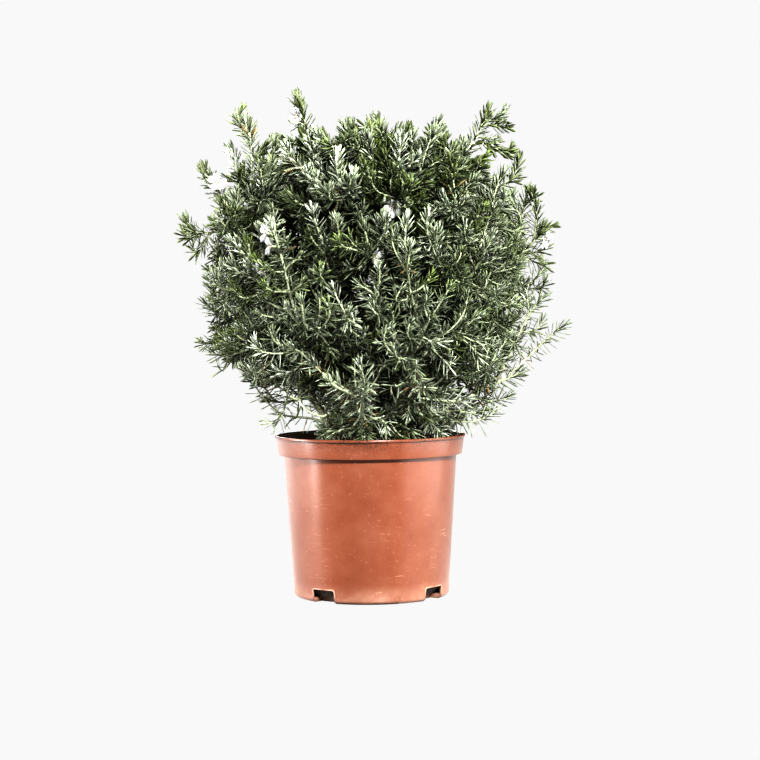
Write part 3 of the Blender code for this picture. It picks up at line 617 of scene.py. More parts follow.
def soil_mesh():
    shrink = POT_WALL + SEAT_GAP
    floor = BASE_RECESS + POT_WALL + SEAT_GAP
    shelf = BAND_FOOT_HEIGHT + POT_WALL + SEAT_GAP
    edge = BAND_FOOT_RADIUS - shrink
    wall_slope = (WALL_TOP_RADIUS - WALL_FOOT_RADIUS) / BAND_FOOT_HEIGHT
    profile = [(0, floor), (WALL_FOOT_RADIUS - shrink - SOIL_FOOT_TAPER, floor)]
    profile += [(WALL_FOOT_RADIUS - shrink + wall_slope * SOIL_FOOT_TAPER_HEIGHT, SOIL_FOOT_TAPER_HEIGHT)]
    profile += [(WALL_TOP_RADIUS - shrink, shelf), (edge, shelf), (edge, SOIL_EDGE_HEIGHT - SOIL_EDGE_DROP)]
    radii = [edge * (1 - step / SOIL_RINGS) for step in range(1, SOIL_RINGS)]
    profile += [(radius, soil_height(radius)) for radius in radii] + [(0, soil_height(0))]
    mesh = turned_mesh("soil_ball", profile, POT_TURN)
    for vert in mesh.vertices:
        if vert.co.z > SOIL_EDGE_HEIGHT - SOIL_EDGE_DROP / 2:
            vert.co.z += SOIL_BUMP * noise.noise(vert.co * SOIL_BUMP_SCALE)
            vert.co.z += SOIL_FINE_BUMP * noise.noise(vert.co * SOIL_FINE_SCALE)
    return mesh


def make_soil():
    """The root ball and what lies on it; gives the ball's mesh, for the litter."""
    ball = add_piece("soil_ball", soil_mesh(), soil_material())
    ball.data.shade_smooth()
    seat(ball, "soil", "soil")
    kinds = [("soil_crumbs", CRUMBS, soil_material()),
             ("perlite", PERLITE, plain_material("perlite_grain", PERLITE_COLOURS, 900.0, 0.9)),
             ("bark_chips", BARK_CHIPS, plain_material("bark_chip", BARK_CHIP_COLOURS, 300.0, 0.85))]
    for number, (name, (density, sizes, stretches), material) in enumerate(kinds):
        lumps = [lump_mesh(name, CRUMB_SIZE / 2, stretch, seed) for seed, stretch in enumerate(stretches)]
        scatter(name, ball.data, lumps, sizes, {
            "Density": density, "Height": CRUMB_LIFT, "Reach": BAND_FOOT_RADIUS - CRUMB_MARGIN,
            "Seed": SOIL_SEED + number, "Material": material})
    return ball.data


ground = make_soil()

# Leafy stems
# Sixteen woody stems rise from the soil and fork into shoots that turn upward. Every shoot carries
# narrow grey-green leaves in whorls of four: short and upright at its tip, spread lower down, with
# a channelled green upper face, rolled pale margins and a white-felted back. Each grew as one piece.

UP = Vector((0, 0, 1))
GOLDEN_ANGLE = math.pi * (3 - math.sqrt(5))
SEED = 11
SEEDS_PER_STEM = 20
STEM_COUNT = 16
STEM_SPREAD = 0.042
STEM_DEPTH_IN_SOIL = 0.020
STEM_FOOT_RADIUS = 0.0023
STEM_TIP_RADIUS = 0.0010
STEM_BARE_STEPS = 6
STEM_LEAN = 0.55
LOWEST_STEM_RISE = 0.16
STEM_CROWDING = 1.25
SHOOT_FOOT_RADIUS = 0.0015
SHOOT_TIP_RADIUS = 0.0010
SHOOT_BARE_STEPS = 3
SHORTEST_SHOOT = 0.046
FORK_PLACES = 22
LOWEST_FORK = 0.12
HIGHEST_FORK = 0.82
FORK_SPACING = 0.006
WIDEST_FORK = math.radians(66)
FORK_TURN_COST = 0.5
FORK_FOLLOW = 0.7
CURVE_STEPS = 20
CURVE_HANDLE = 0.36
STEM_CLEARANCE = 0.0008
STEM_OVER_POT = 0.003
RIM_REACH = 0.006
SWAY = 0.004
PATH_TRIES = 40
SPHERE_PITCH = 0.0015
FREE_AFTER = 12
LEAF_ROOT_HEIGHT = 0.0010
RING_PITCH = 0.0125
FIRST_RING_BELOW_TIP = 0.0025
RING_COUNT = 3
CANOPY_CENTRE = Vector((0, 0, 0.303))
CANOPY_RADIUS = 0.172
CANOPY_RISE = 0.182
CANOPY_DROP = 0.120
CANOPY_SQUARENESS = 2.6
CROWN = Vector((0, 0, 0.173))
TIP_RISE = 0.20
TUFT_REACH = 0.010
FILL_SPACING = 0.053
FILL_LOWEST_DIRECTION = -0.62
FILL_DRAWS = 3000

# Shoot tips that draw the bush's outline, as (x, y, z) in millimetres
OUTLINE_TIPS = [
    (-182, -20, 375), (-172, 10, 301), (-164, 35, 262), (-163, -35, 251), (-161, -5, 429),
    (-143, 25, 460), (-123, -10, 484), (-92, 40, 467), (-68, 0, 500), (-44, 35, 465),
    (-23, -35, 454), (4, 15, 485), (22, -25, 461), (40, 50, 460), (76, 15, 477), (89, -40, 452),
    (124, 5, 493), (138, -30, 429), (167, 20, 412), (153, 65, 411), (181, -10, 373),
    (183, 30, 331), (179, -40, 303), (204, 0, 274), (158, -20, 226), (148, 20, 200),
    (121, -32, 187), (-112, 15, 200), (-100, -32, 187),
]
# Shoot tips on the side that faces the viewer
FRONT_TIPS = [
    (-118, -100, 337), (-79, -120, 295), (-75, -130, 258), (-48, -145, 276), (-20, -150, 293),
    (8, -155, 312), (-6, -132, 216), (-53, -90, 403), (-13, -115, 407), (0, -140, 350),
    (30, -110, 403), (92, -95, 401), (125, -90, 363), (69, -130, 348), (40, -148, 333),
    (-42, -125, 358), (-105, -60, 416), (60, -140, 283), (26, -152, 253), (102, -110, 273),
    (56, -130, 217), (-40, -138, 225), (-80, -105, 208), (131, -80, 243), (57, -65, 433),
    (100, -88, 203), (-131, -75, 276),
]
# Twig tips that thicken the outline between those
TWIG_TIPS = [
    (-163, 0, 428), (-154, 20, 416), (-125, 5, 485), (-116, -10, 471), (-69, 5, 500), (-77, -15, 475),
    (136, 10, 482), (139, -5, 467), (130, 20, 455), (162, 0, 402), (167, -20, 386), (184, 0, 367),
    (179, 15, 349), (172, -15, 332), (176, 0, 311), (171, -25, 273), (-185, 10, 366), (-173, -20, 347),
    (-168, 15, 254), (-151, -10, 232), (151, 0, 434), (143, 15, 446), (-180, -15, 378), (71, 0, 472),
]


def path_length(path):
    return sum((after - before).length for before, after in zip(path, path[1:]))


def point_on_path(path, share):
    """The point and the direction at a share of a path's length."""
    left = share * path_length(path)
    for before, after in zip(path, path[1:]):
        step = (after - before).length
        if left <= step:
            return before.lerp(after, left / step), (after - before).normalized()
        left -= step
    return path[-1], (after - before).normalized()


def curve_path(start, leaving, tip, arriving, sway, steps):
    """A smooth curve that leaves one way, arrives another, and sways aside in between."""
    handle = (tip - start).length * CURVE_HANDLE
    first = start + leaving * handle + sway
    second = tip - arriving * handle + sway
    path = []
    for step in range(steps + 1):
        t = step / steps
        u = 1 - t
        path.append(start * u ** 3 + first * 3 * u * u * t + second * 3 * u * t * t + tip * t ** 3)
    return path


def taper(path, foot_radius, tip_radius):
    """A radius for each point of a path, shrinking evenly along its length."""
    radii = [foot_radius]
    slope = (tip_radius - foot_radius) / path_length(path)
    for before, after in zip(path, path[1:]):
        radii.append(radii[-1] + slope * (after - before).length)
    return radii


class Space:
    """What has been placed so far, as small spheres, each with the numbers of its stem and branch."""

    def __init__(self):
        self.centres = np.zeros((0, 3))
        self.radii = np.zeros(0)
        self.owners = np.zeros((0, 2), dtype=int)

    def add(self, centres, radii, stem, branch):
        self.centres = np.vstack((self.centres, centres))
        self.radii = np.concatenate((self.radii, radii))
        self.owners = np.vstack((self.owners, np.tile((stem, branch), (len(radii), 1))))

    def gap(self, centres, radii, stem, branch=None):
        """The least gap to the other stems or, where a branch is given, to all other branches."""
        others = self.owners[:, 0] != stem
        if branch is not None:
            others |= self.owners[:, 1] != branch
        if not others.any():
            return 1.0
        apart = np.linalg.norm(centres[:, None] - self.centres[None, others], axis=2)
        return float((apart - radii[:, None] - self.radii[None, others]).min())


def spheres_along(path, radii):
    """Spheres that fill a tapered path."""
    centres, sizes = [], []
    for index in range(len(path) - 1):
        count = max(1, math.ceil((path[index + 1] - path[index]).length / SPHERE_PITCH))
        for step in range(count):
            share = step / count
            centres.append(path[index].lerp(path[index + 1], share))
            sizes.append(radii[index] * (1 - share) + radii[index + 1] * share)
    centres.append(path[-1])
    sizes.append(radii[-1])
    return np.array(centres), np.array(sizes)


def clears_pot(centres, margin):
    """Whether every point lies above the soil, and above the rim where it passes over it."""
    reach = np.hypot(centres[:, 0], centres[:, 1])
    over_rim = (reach > BAND_FOOT_RADIUS - RIM_REACH) & (reach < LIP_RADIUS + RIM_REACH)
    over_soil = reach <= BAND_FOOT_RADIUS - RIM_REACH
    rim_clear = centres[over_rim, 2] > POT_HEIGHT + margin
    soil_clear = centres[over_soil, 2] > SOIL_EDGE_HEIGHT + SOIL_MOUND + margin
    return bool(rim_clear.all() and soil_clear.all())


def canopy_point(direction):
    """Where a ray from the canopy's centre leaves the canopy."""
    across = math.hypot(direction.x, direction.y) / CANOPY_RADIUS
    upright = abs(direction.z) / (CANOPY_RISE if direction.z > 0 else CANOPY_DROP)
    reach = (across ** CANOPY_SQUARENESS + upright ** CANOPY_SQUARENESS) ** (-1 / CANOPY_SQUARENESS)
    return CANOPY_CENTRE + direction * reach


def arriving_direction(tip):
    return ((tip - CROWN).normalized() + UP * TIP_RISE).normalized()


def canopy_direction(chance):
    """A random direction from the canopy's centre, even over the canopy."""
    height = chance.uniform(FILL_LOWEST_DIRECTION, 1)
    turn = chance.uniform(0, 2 * math.pi)
    flat = math.sqrt(1 - height * height)
    return Vector((flat * math.cos(turn), flat * math.sin(turn), height))


def shoot_tips():
    """Where the wood of each main shoot ends: the chosen tips, then tips drawn evenly apart."""
    tips = [Vector(tip) / 1000 for tip in OUTLINE_TIPS + FRONT_TIPS]
    chance = random.Random(SEED)
    for _ in range(FILL_DRAWS):
        tip = canopy_point(canopy_direction(chance))
        if min((tip - other).length for other in tips) > FILL_SPACING:
            tips.append(tip)
    return [tip - arriving_direction(tip) * TUFT_REACH for tip in tips]


def stem_directions():
    """One direction for each stem, evenly spread over the canopy."""
    directions = []
    for number in range(STEM_COUNT):
        share = (number + 0.5) / STEM_COUNT
        rise = 1 - (1 - LOWEST_STEM_RISE) * share ** STEM_CROWDING
        flat = math.sqrt(1 - rise * rise)
        turn = number * GOLDEN_ANGLE
        directions.append(Vector((flat * math.cos(turn), flat * math.sin(turn), rise)))
    return directions


def clear_branch(space, stem, branch, chance, start, leaving, tip, bare_steps, thickness):
    """A branch to a tip that touches nothing beyond its foot, or None after many tries."""
    for attempt in range(PATH_TRIES):
        amount = SWAY * (1 + attempt / 2) / 2
        sway = Vector([chance.gauss(0, amount) for _ in range(3)])
        curve = curve_path(start, leaving, tip, arriving_direction(tip), sway, CURVE_STEPS)
        line = branch_line(curve, bare_steps)
        radii = taper(line, *thickness)
        centres, sizes = spheres_along(line, radii)
        if not clears_pot(centres[FREE_AFTER:], STEM_OVER_POT):
            continue
        if space.gap(centres, sizes, stem) < STEM_CLEARANCE:
            continue
        if space.gap(centres[FREE_AFTER:], sizes[FREE_AFTER:], stem, branch) > STEM_CLEARANCE:
            space.add(centres, sizes, stem, branch)
            return {"line": line, "curve": curve, "radii": taper(curve, *thickness), "start": start}
    return None


def branch_line(curve, bare_steps):
    """The points that the solid follows: evenly spaced where bare, then two for each ring of leaves."""
    length = path_length(curve)
    pairs = []
    for ring in reversed(range(RING_COUNT)):
        below_tip = FIRST_RING_BELOW_TIP + ring * RING_PITCH
        pairs += [1 - (below_tip + LEAF_ROOT_HEIGHT) / length, 1 - below_tip / length]
    shares = [pairs[0] * step / bare_steps for step in range(bare_steps)] + pairs + [1]
    return [point_on_path(curve, share)[0] for share in shares]


def grow_stems(space):
    """Each stem with its side shoots: branches that fill the canopy and never cross another stem."""
    chance = random.Random(SEED)
    directions = stem_directions()
    groups = [[] for _ in directions]
    for tip in shoot_tips():
        out = (tip - CROWN).normalized()
        nearest = max(range(STEM_COUNT), key=lambda number: out.dot(directions[number]))
        groups[nearest].append(tip)
    stems = []
    for number, (direction, tips) in enumerate(zip(directions, groups)):
        tips.sort(key=lambda tip: -direction.dot((tip - CROWN).normalized()))
        hole = Vector((direction.x, direction.y, 0)).normalized()
        hole *= STEM_SPREAD * math.sqrt((number + 0.5) / STEM_COUNT)
        start = Vector((hole.x, hole.y, soil_height(hole.length)))
        leaving = (UP * (1 - STEM_LEAN) + direction * STEM_LEAN).normalized()
        stem = clear_branch(space, number, 0, chance, start, leaving, tips[0], STEM_BARE_STEPS,
                            (STEM_FOOT_RADIUS, STEM_TIP_RADIUS))
        stem.update(number=number, leaving=leaving, tips=tips[1:], shoots=[], twigs=[])
        stems.append(stem)
    for stem in stems:
        for tip in stem["tips"]:
            add_shoot(space, stem, tip, chance)
    return stems


def add_shoot(space, stem, tip, chance):
    """A side shoot from the place on the stem that leads to its tip most directly."""
    choices = []
    for step in range(FORK_PLACES):
        share = LOWEST_FORK + (HIGHEST_FORK - LOWEST_FORK) * step / (FORK_PLACES - 1)
        start, along = point_on_path(stem["line"], share)
        reach = tip - start
        turn = along.angle(reach)
        taken = any((start - shoot["start"]).length < FORK_SPACING for shoot in stem["shoots"])
        if turn < WIDEST_FORK and reach.length > SHORTEST_SHOOT and not taken:
            choices.append((reach.length * (1 + turn * FORK_TURN_COST), start, along))
    for _, start, along in sorted(choices, key=lambda choice: choice[0]):
        leaving = (along * FORK_FOLLOW + (tip - start).normalized()).normalized()
        shoot = clear_branch(space, stem["number"], len(stem["shoots"]) + 1, chance, start, leaving,
                             tip, SHOOT_BARE_STEPS, (SHOOT_FOOT_RADIUS, SHOOT_TIP_RADIUS))
        if shoot:
            stem["shoots"].append(shoot)
            return


# Twigs between the main tips and deeper in the canopy: how many are drawn, how far out from the
# canopy's centre they end, and their least distance to another tip
CANOPY_TWIGS = [(7000, (0.55, 0.94), 0.0176), (1400, (0.25, 0.72), 0.0168)]
# Twigs low round the bush and just over the rim: how many are drawn, the ranges of their tips' radius
# and height, how much they rise outward, and their least distance to another tip
LOW_TWIGS = [(1500, (0.020, 0.104), (0.167, 0.243), 0.35, 0.0176),
             (900, (0.030, 0.084), (0.162, 0.186), 0.0, 0.0150)]
LOW_TWIGS_RISE_FROM = 0.06
TWIG_RISE = 0.7
LOW_TWIG_RISE = -0.15
TWIG_REACH = (0.024, 0.110)
WIDEST_TWIG = math.radians(58)
WIDEST_LOW_TWIG = math.radians(105)
TWIG_FOOT_RADIUS = 0.0010
TWIG_TIP_RADIUS = 0.0008
TWIG_STEPS = 12
TWIG_SWAY = 0.004
# Two thin twigs that hang over the pot's rim, in millimetres: near where each leaves a branch, which
# way it leaves, its tip, and which way it ends
OVER_RIM_TWIGS = [
    ((30, -30, 184), (1.0, -0.1, -0.30), (123, -45, 184), (0.8, 0.0, 0.55)),
    ((-66, -50, 228), (-0.4, 0.0, -0.9), (-98, -48, 176), (-0.7, 0.0, 0.2)),
]
OVER_RIM_SEED = 33
# Few leaves touch the rim, and a gap at the left lets the soil and the pot's inside show
RIM_LEAF_GAP = 0.009
RIM_WINDOW = (-0.075, 0.186)
RIM_WINDOW_RADIUS = 0.019
RIM_WINDOW_KEEP = 0.3
RIM_WINDOW_CLEARANCE = 0.032
# Every few of the lowest twigs have lost nearly all their leaves
BARE_BELOW = 0.236
BARE_EVERY = 4
BARE_KEEP = 0.10

# How far down a shoot its leaves reach, and how its whorls follow each other from its tip
LEAFY_LENGTHS = (0.090, 0.130)
TWIG_LEAFY_LENGTHS = (0.050, 0.085)
LEAFIEST_SHARE = 0.92
LOWEST_LEAF_SHARE = 0.02
FIRST_WHORL = 0.0006
FIRST_PITCH = 0.0032
PITCH_GROWTH = 0.080
ASCENDING_CROWDING = 0.22
WHORL_TURN_SPREAD = 0.2
THINNING_FROM = 0.65
THINNING = 0.75
# How leaves grow from a shoot's tip down, and how much larger they are low, deep or high in the bush
NEWEST_SIZE = 0.68
GROWN_AT = 0.020
WHORL_SIZES = (0.90, 1.08)
LOW_LEAF_HEIGHT = 0.263
LOW_LEAF_RANGE = 0.06
LOW_LEAF_GROWTH = 0.18
DEEP_LEAF_GROWTH = 0.12
ASCENDING_LEAF_GROWTH = 0.20
# Where the bush counts as deep, for painted shade and larger leaves: shares of the way out to its surface
DEEP_FROM = 0.95
DEEP_AT = 0.62
DEPTH_DROP = 0.150
# Young, dry and silvery leaves. Silveriness is drawn between two values, and a third is added to it
# for a tip at the front or the back
YOUNG_SHARE = 0.12
YOUNG_UNTIL = 0.030
OLD_FROM = 0.5
DRY_SHARE = 0.021
LITTER_HEIGHT = LOW_LEAF_HEIGHT - 0.03
LITTER_DRY_SHARE = 0.21
SHOOT_SILVER = (-0.30, 0.80, 0.85)
TWIG_SILVER = (-0.55, 0.55, 0.65)
LOW_SILVER = 0.10
# Painted shade: leaves grow less silvery, and bark darker, towards the bush's left and right edges
SIDE_SHADE = 0.8
SIDE_SHADE_POWER = 6
BARK_SIDE_SHADE_POWER = 3
# Sprigs in the axils, and their whorls as (below the tip, size)
SPRIG_SHARE = 0.20
SPRIG_LENGTHS = (0.004, 0.010)
SPRIG_LEANS = (30, 50)
SPRIG_RISE = 0.15
FIRST_SPRIG = 0.022
SPRIG_RADIUS = TWIG_TIP_RADIUS * 0.7
SPRIG_WHORLS = [(0.0, 0.35), (0.0016, 0.5), (0.0040, 0.6)]
SPRIG_SIZES = (0.85, 1.2)
SPRIG_YOUNG = 0.6
SPRIG_LEAF_ROOT = 0.0004

LEAF_LENGTH = 0.0114
LEAF_WIDTH = 0.0024
LEAF_THICKNESS = 0.00034
LEAF_STATIONS = [(0.0, 0.46), (0.78, 0.94)]
BLADE_ARCHES = [0.16, 0.07, -0.05, -0.20]
BLADE_BENDS = [0.03, -0.05, 0.06, -0.04]
LEAVES_IN_WHORL = 4
TIP_LEAN = math.radians(14)
ASCENDING_LEAN = math.radians(45)
SPREADING_LEAN = math.radians(74)
LEAN_SPREAD = math.radians(9)
SETTLED_AT = 0.026
SETTLING = 0.75
SPREADING_HEIGHTS = (0.300, 0.440)
LEAF_TURN_SPREAD = 0.30
LEAF_ROLL = 0.45
LEAF_DROOP = (-0.34, 0.04)
LEAF_SIZES = (0.82, 1.12)
LEAF_BREADTHS = (0.88, 1.08)
OPEN_SLIMMING = 0.26
OPEN_LENGTHENING = 0.16
LEAF_SLIDE = 0.0007
NEARLY_UPRIGHT = 0.05
BARK_SIDES = 6
# Values on the plan that the tree reads and the finished mesh doesn't keep
PLAN_ONLY_FIELDS = ("along", "side", "around", "turn", "size", "keep", "open", "is_whorl", "thickness")

LEAF_GREENS = (0.009, 0.019, 0.001), (0.034, 0.054, 0.006)
LEAF_SILVER = (0.370, 0.425, 0.290)
LEAF_FRESH = (0.240, 0.310, 0.130)
LEAF_YOUNG = (0.27, 0.36, 0.085)
LEAF_BASE = (0.36, 0.37, 0.20)
LEAF_DIM_SHADE = (0.006, 0.012, 0.001)
LEAF_DEEP_SHADE = (0.004, 0.009, 0.0)
LEAF_BROWNS = (0.17, 0.115, 0.055), (0.34, 0.24, 0.13)
MARGIN_COLOURS = (0.24, 0.28, 0.14), (0.85, 0.89, 0.79)
BACK_COLOURS = (0.085, 0.112, 0.035), (0.25, 0.29, 0.15)
BACK_SILVER = (0.90, 0.95, 0.83)
BACK_RIB = (0.32, 0.37, 0.20)
YOUNG_BARK = (0.22, 0.25, 0.15), (0.47, 0.53, 0.34)
OLDER_BARK = (0.30, 0.30, 0.22), (0.62, 0.66, 0.48)
TAN_BARK = (0.30, 0.24, 0.17)
WOODY_BARK = (0.12, 0.085, 0.06)
BARK_STREAKS = (0.10, 0.08, 0.055)
BARK_DEEP_SHADE = (0.020, 0.018, 0.008)

# Places where blooms open, in millimetres, each on the shoot that passes nearest
BLOOM_PLACES = [
    (-146, -30, 421), (-90, 25, 438), (-84, -18, 471), (-110, -112, 355), (-103, -118, 343),
    (-113, -104, 341), (15, -148, 341), (183, -14, 361), (28, -116, 395), (70, 120, 383),
    (-60, 140, 333), (-20, 70, 453), (130, 90, 303),
]
BLOOM_BELOW_TIP = 0.012
BLOOM_RANGE = 0.048
BLOOM_STEPS = 8
BLOOM_LOWEST_SHARE = 0.3
BLOOM_LEAN = 0.35
BLOOM_ROOM = 0.012
NO_OFFSET = 0.002


def wanted_twigs(chance):
    """For each wanted twig its tip, how it arrives there, its widest turn and its least distance."""
    wanted = [(Vector(tip) / 1000, UP, WIDEST_LOW_TWIG, 0.0) for tip in TWIG_TIPS]
    for draws, depths, spacing in CANOPY_TWIGS:
        for _ in range(draws):
            depth = chance.uniform(*depths)
            tip = CANOPY_CENTRE.lerp(canopy_point(canopy_direction(chance)), depth)
            arriving = (arriving_direction(tip) + UP * TWIG_RISE).normalized()
            wanted.append((tip, arriving, WIDEST_TWIG, spacing))
    for draws, radii, heights, slope, spacing in LOW_TWIGS:
        for _ in range(draws):
            radius, turn = chance.uniform(*radii), chance.uniform(0, 2 * math.pi)
            out = Vector((math.cos(turn), math.sin(turn), 0))
            height = chance.uniform(*heights) + slope * max(0.0, radius - LOW_TWIGS_RISE_FROM)
            arriving = (out + UP * LOW_TWIG_RISE).normalized()
            wanted.append((out * radius + UP * height, arriving, WIDEST_LOW_TWIG, spacing))
    return wanted


def in_rim_window(place, radius):
    return math.hypot(place.x - RIM_WINDOW[0], place.z - RIM_WINDOW[1]) < radius


def sprout_twigs(stems, chance):
    """Twigs that end between the main tips, each from the branch that leads there most directly."""
    places, ways, owners, tips = [], [], [], []
    for stem in stems:
        for branch in [stem] + stem["shoots"]:
            tips.append(branch["curve"][-1])
            for step in range(1, CURVE_STEPS - 2):
                places.append(branch["curve"][step])
                ways.append((branch["curve"][step + 1] - branch["curve"][step - 1]).normalized())
                owners.append(stem)
    spots, directions = np.array(places), np.array(ways)
    for tip, arriving, widest, spacing in wanted_twigs(chance):
        if min((tip - other).length for other in tips) < spacing:
            continue
        if spacing and in_rim_window(tip, RIM_WINDOW_CLEARANCE):
            continue
        reach = np.array(tip) - spots
        length = np.linalg.norm(reach, axis=1)
        turn = np.arccos(np.clip((reach * directions).sum(axis=1) / length, -1, 1))
        cost = length * (1 + turn)
        cost[(length < TWIG_REACH[0]) | (length > TWIG_REACH[1]) | (turn > widest)] = np.inf
        best = int(cost.argmin())
        if not np.isfinite(cost[best]):
            continue
        start, along = places[best], ways[best]
        leaving = (along + (tip - start).normalized()).normalized()
        sway = Vector([chance.gauss(0, TWIG_SWAY) for _ in range(3)])
        curve = curve_path(start, leaving, tip, arriving, sway, TWIG_STEPS)
        if clears_pot(np.array(curve[1:]), STEM_OVER_POT):
            tips.append(tip)
            add_twig(owners[best], curve, False)
    for near, leaving, tip, arriving in OVER_RIM_TWIGS:
        best = int(np.linalg.norm(spots - np.array(near) / 1000, axis=1).argmin())
        curve = curve_path(places[best], Vector(leaving).normalized(), Vector(tip) / 1000,
                           Vector(arriving).normalized(), Vector(), TWIG_STEPS)
        add_twig(owners[best], curve, True)


def add_twig(stem, curve, over_rim):
    radii = taper(curve, TWIG_FOOT_RADIUS, TWIG_TIP_RADIUS)
    stem["twigs"].append({"curve": curve, "radii": radii, "over_rim": over_rim})


def zero_to_one(value):
    """A value held between 0 and 1."""
    return min(1.0, max(0.0, value))


def depth_of(place):
    """How deep a place lies in the bush: 0 near its outside, 1 well inside, where little light falls."""
    across = math.hypot(place.x, place.y) / CANOPY_RADIUS
    upright = (place.z - CANOPY_CENTRE.z) / (CANOPY_RISE if place.z > CANOPY_CENTRE.z else DEPTH_DROP)
    share = (across ** CANOPY_SQUARENESS + abs(upright) ** CANOPY_SQUARENESS) ** (1 / CANOPY_SQUARENESS)
    return zero_to_one((DEEP_FROM - share) / (DEEP_FROM - DEEP_AT))


def openness(place):
    """How far leaves spread: 0 where they ascend, high in the bush, and 1 where they stand out."""
    low, high = SPREADING_HEIGHTS
    return zero_to_one((high - place.z) / (high - low))


def whorls_on(curve, radii, leafy, chance, young, silver):
    """The whorls of a shoot from its tip down, denser and smaller near the tip."""
    length = path_length(curve)
    whorls = []
    below = FIRST_WHORL
    turn = chance.uniform(0, math.pi)
    while below < leafy:
        point, along = point_on_path(curve, max(LOWEST_LEAF_SHARE, 1 - below / length))
        grown = min(1.0, NEWEST_SIZE + below / GROWN_AT)
        grown *= 1 + LOW_LEAF_GROWTH * zero_to_one((LOW_LEAF_HEIGHT - point.z) / LOW_LEAF_RANGE)
        grown *= 1 + DEEP_LEAF_GROWTH * depth_of(point)
        grown *= 1 + ASCENDING_LEAF_GROWTH * (1 - openness(point))
        old = below / leafy
        sparse = zero_to_one((old - THINNING_FROM) / (1 - THINNING_FROM))
        dry_share = LITTER_DRY_SHARE if point.z < LITTER_HEIGHT else DRY_SHARE
        dry = 1.0 if old > OLD_FROM and chance.random() < dry_share else 0.0
        whorls.append({
            "place": point, "along": along, "turn": turn, "age": below,
            "size": grown * chance.uniform(*WHORL_SIZES), "keep": 1 - THINNING * sparse,
            "young": zero_to_one(1 - below / YOUNG_UNTIL) * young, "silver": silver, "dry": dry,
            "root": radii[0] / 2, "deep": depth_of(point), "open": openness(point),
        })
        turn += math.pi / LEAVES_IN_WHORL + chance.uniform(-WHORL_TURN_SPREAD, WHORL_TURN_SPREAD)
        below += (FIRST_PITCH + PITCH_GROWTH * below) * (1 - ASCENDING_CROWDING * (1 - openness(point)))
    return whorls


def sprigs_on(curve, leafy, chance):
    """Short young sprigs in the axils along a shoot, each as its foot and its tip."""
    sprigs = []
    length = path_length(curve)
    below = FIRST_SPRIG
    while below < leafy:
        if chance.random() < SPRIG_SHARE:
            point, along = point_on_path(curve, max(LOWEST_LEAF_SHARE, 1 - below / length))
            turn = Matrix.Rotation(chance.uniform(0, 2 * math.pi), 3, along)
            out = turn @ along.orthogonal().normalized()
            lean = math.radians(chance.uniform(*SPRIG_LEANS))
            way = (along * math.cos(lean) + out * math.sin(lean) + UP * SPRIG_RISE).normalized()
            sprigs.append([point, point + way * chance.uniform(*SPRIG_LENGTHS)])
        below += FIRST_PITCH * 2 + PITCH_GROWTH * below
    return sprigs


def sprig_whorls(sprig, chance, young, silver):
    """The two or three small whorls of a sprig, from its tip down."""
    foot, tip = sprig
    along = (tip - foot).normalized()
    whorls = []
    for below, size in SPRIG_WHORLS:
        if below < (tip - foot).length:
            whorls.append({
                "place": tip - along * below, "along": along, "turn": chance.uniform(0, math.pi),
                "age": below * 2, "size": size * chance.uniform(*SPRIG_SIZES), "keep": 1.0,
                "young": young * SPRIG_YOUNG, "silver": silver, "dry": 0.0, "root": SPRIG_LEAF_ROOT,
                "deep": depth_of(tip), "open": openness(tip), "over_rim": False,
            })
    return whorls


def side_of(along):
    """A direction across a shoot."""
    side = UP.cross(along)
    return side.normalized() if side.length > NEARLY_UPRIGHT else Vector((1, 0, 0))


def aside(place, power):
    """How far to the left or right a place lies in the bush, from 0 to 1, more so near its edge."""
    return zero_to_one(abs(place.x) / CANOPY_RADIUS) ** power


def silver_of(tip, ranges, chance):
    """How silvery a shoot's leaves are, less so towards the bush's left and right edges as painted shade."""
    least, most, facing = ranges
    silver = chance.uniform(least, most) + facing * (abs(tip.y) / CANOPY_RADIUS)
    silver += LOW_SILVER * openness(tip)
    return zero_to_one(silver) * (1 - SIDE_SHADE * aside(tip, SIDE_SHADE_POWER))


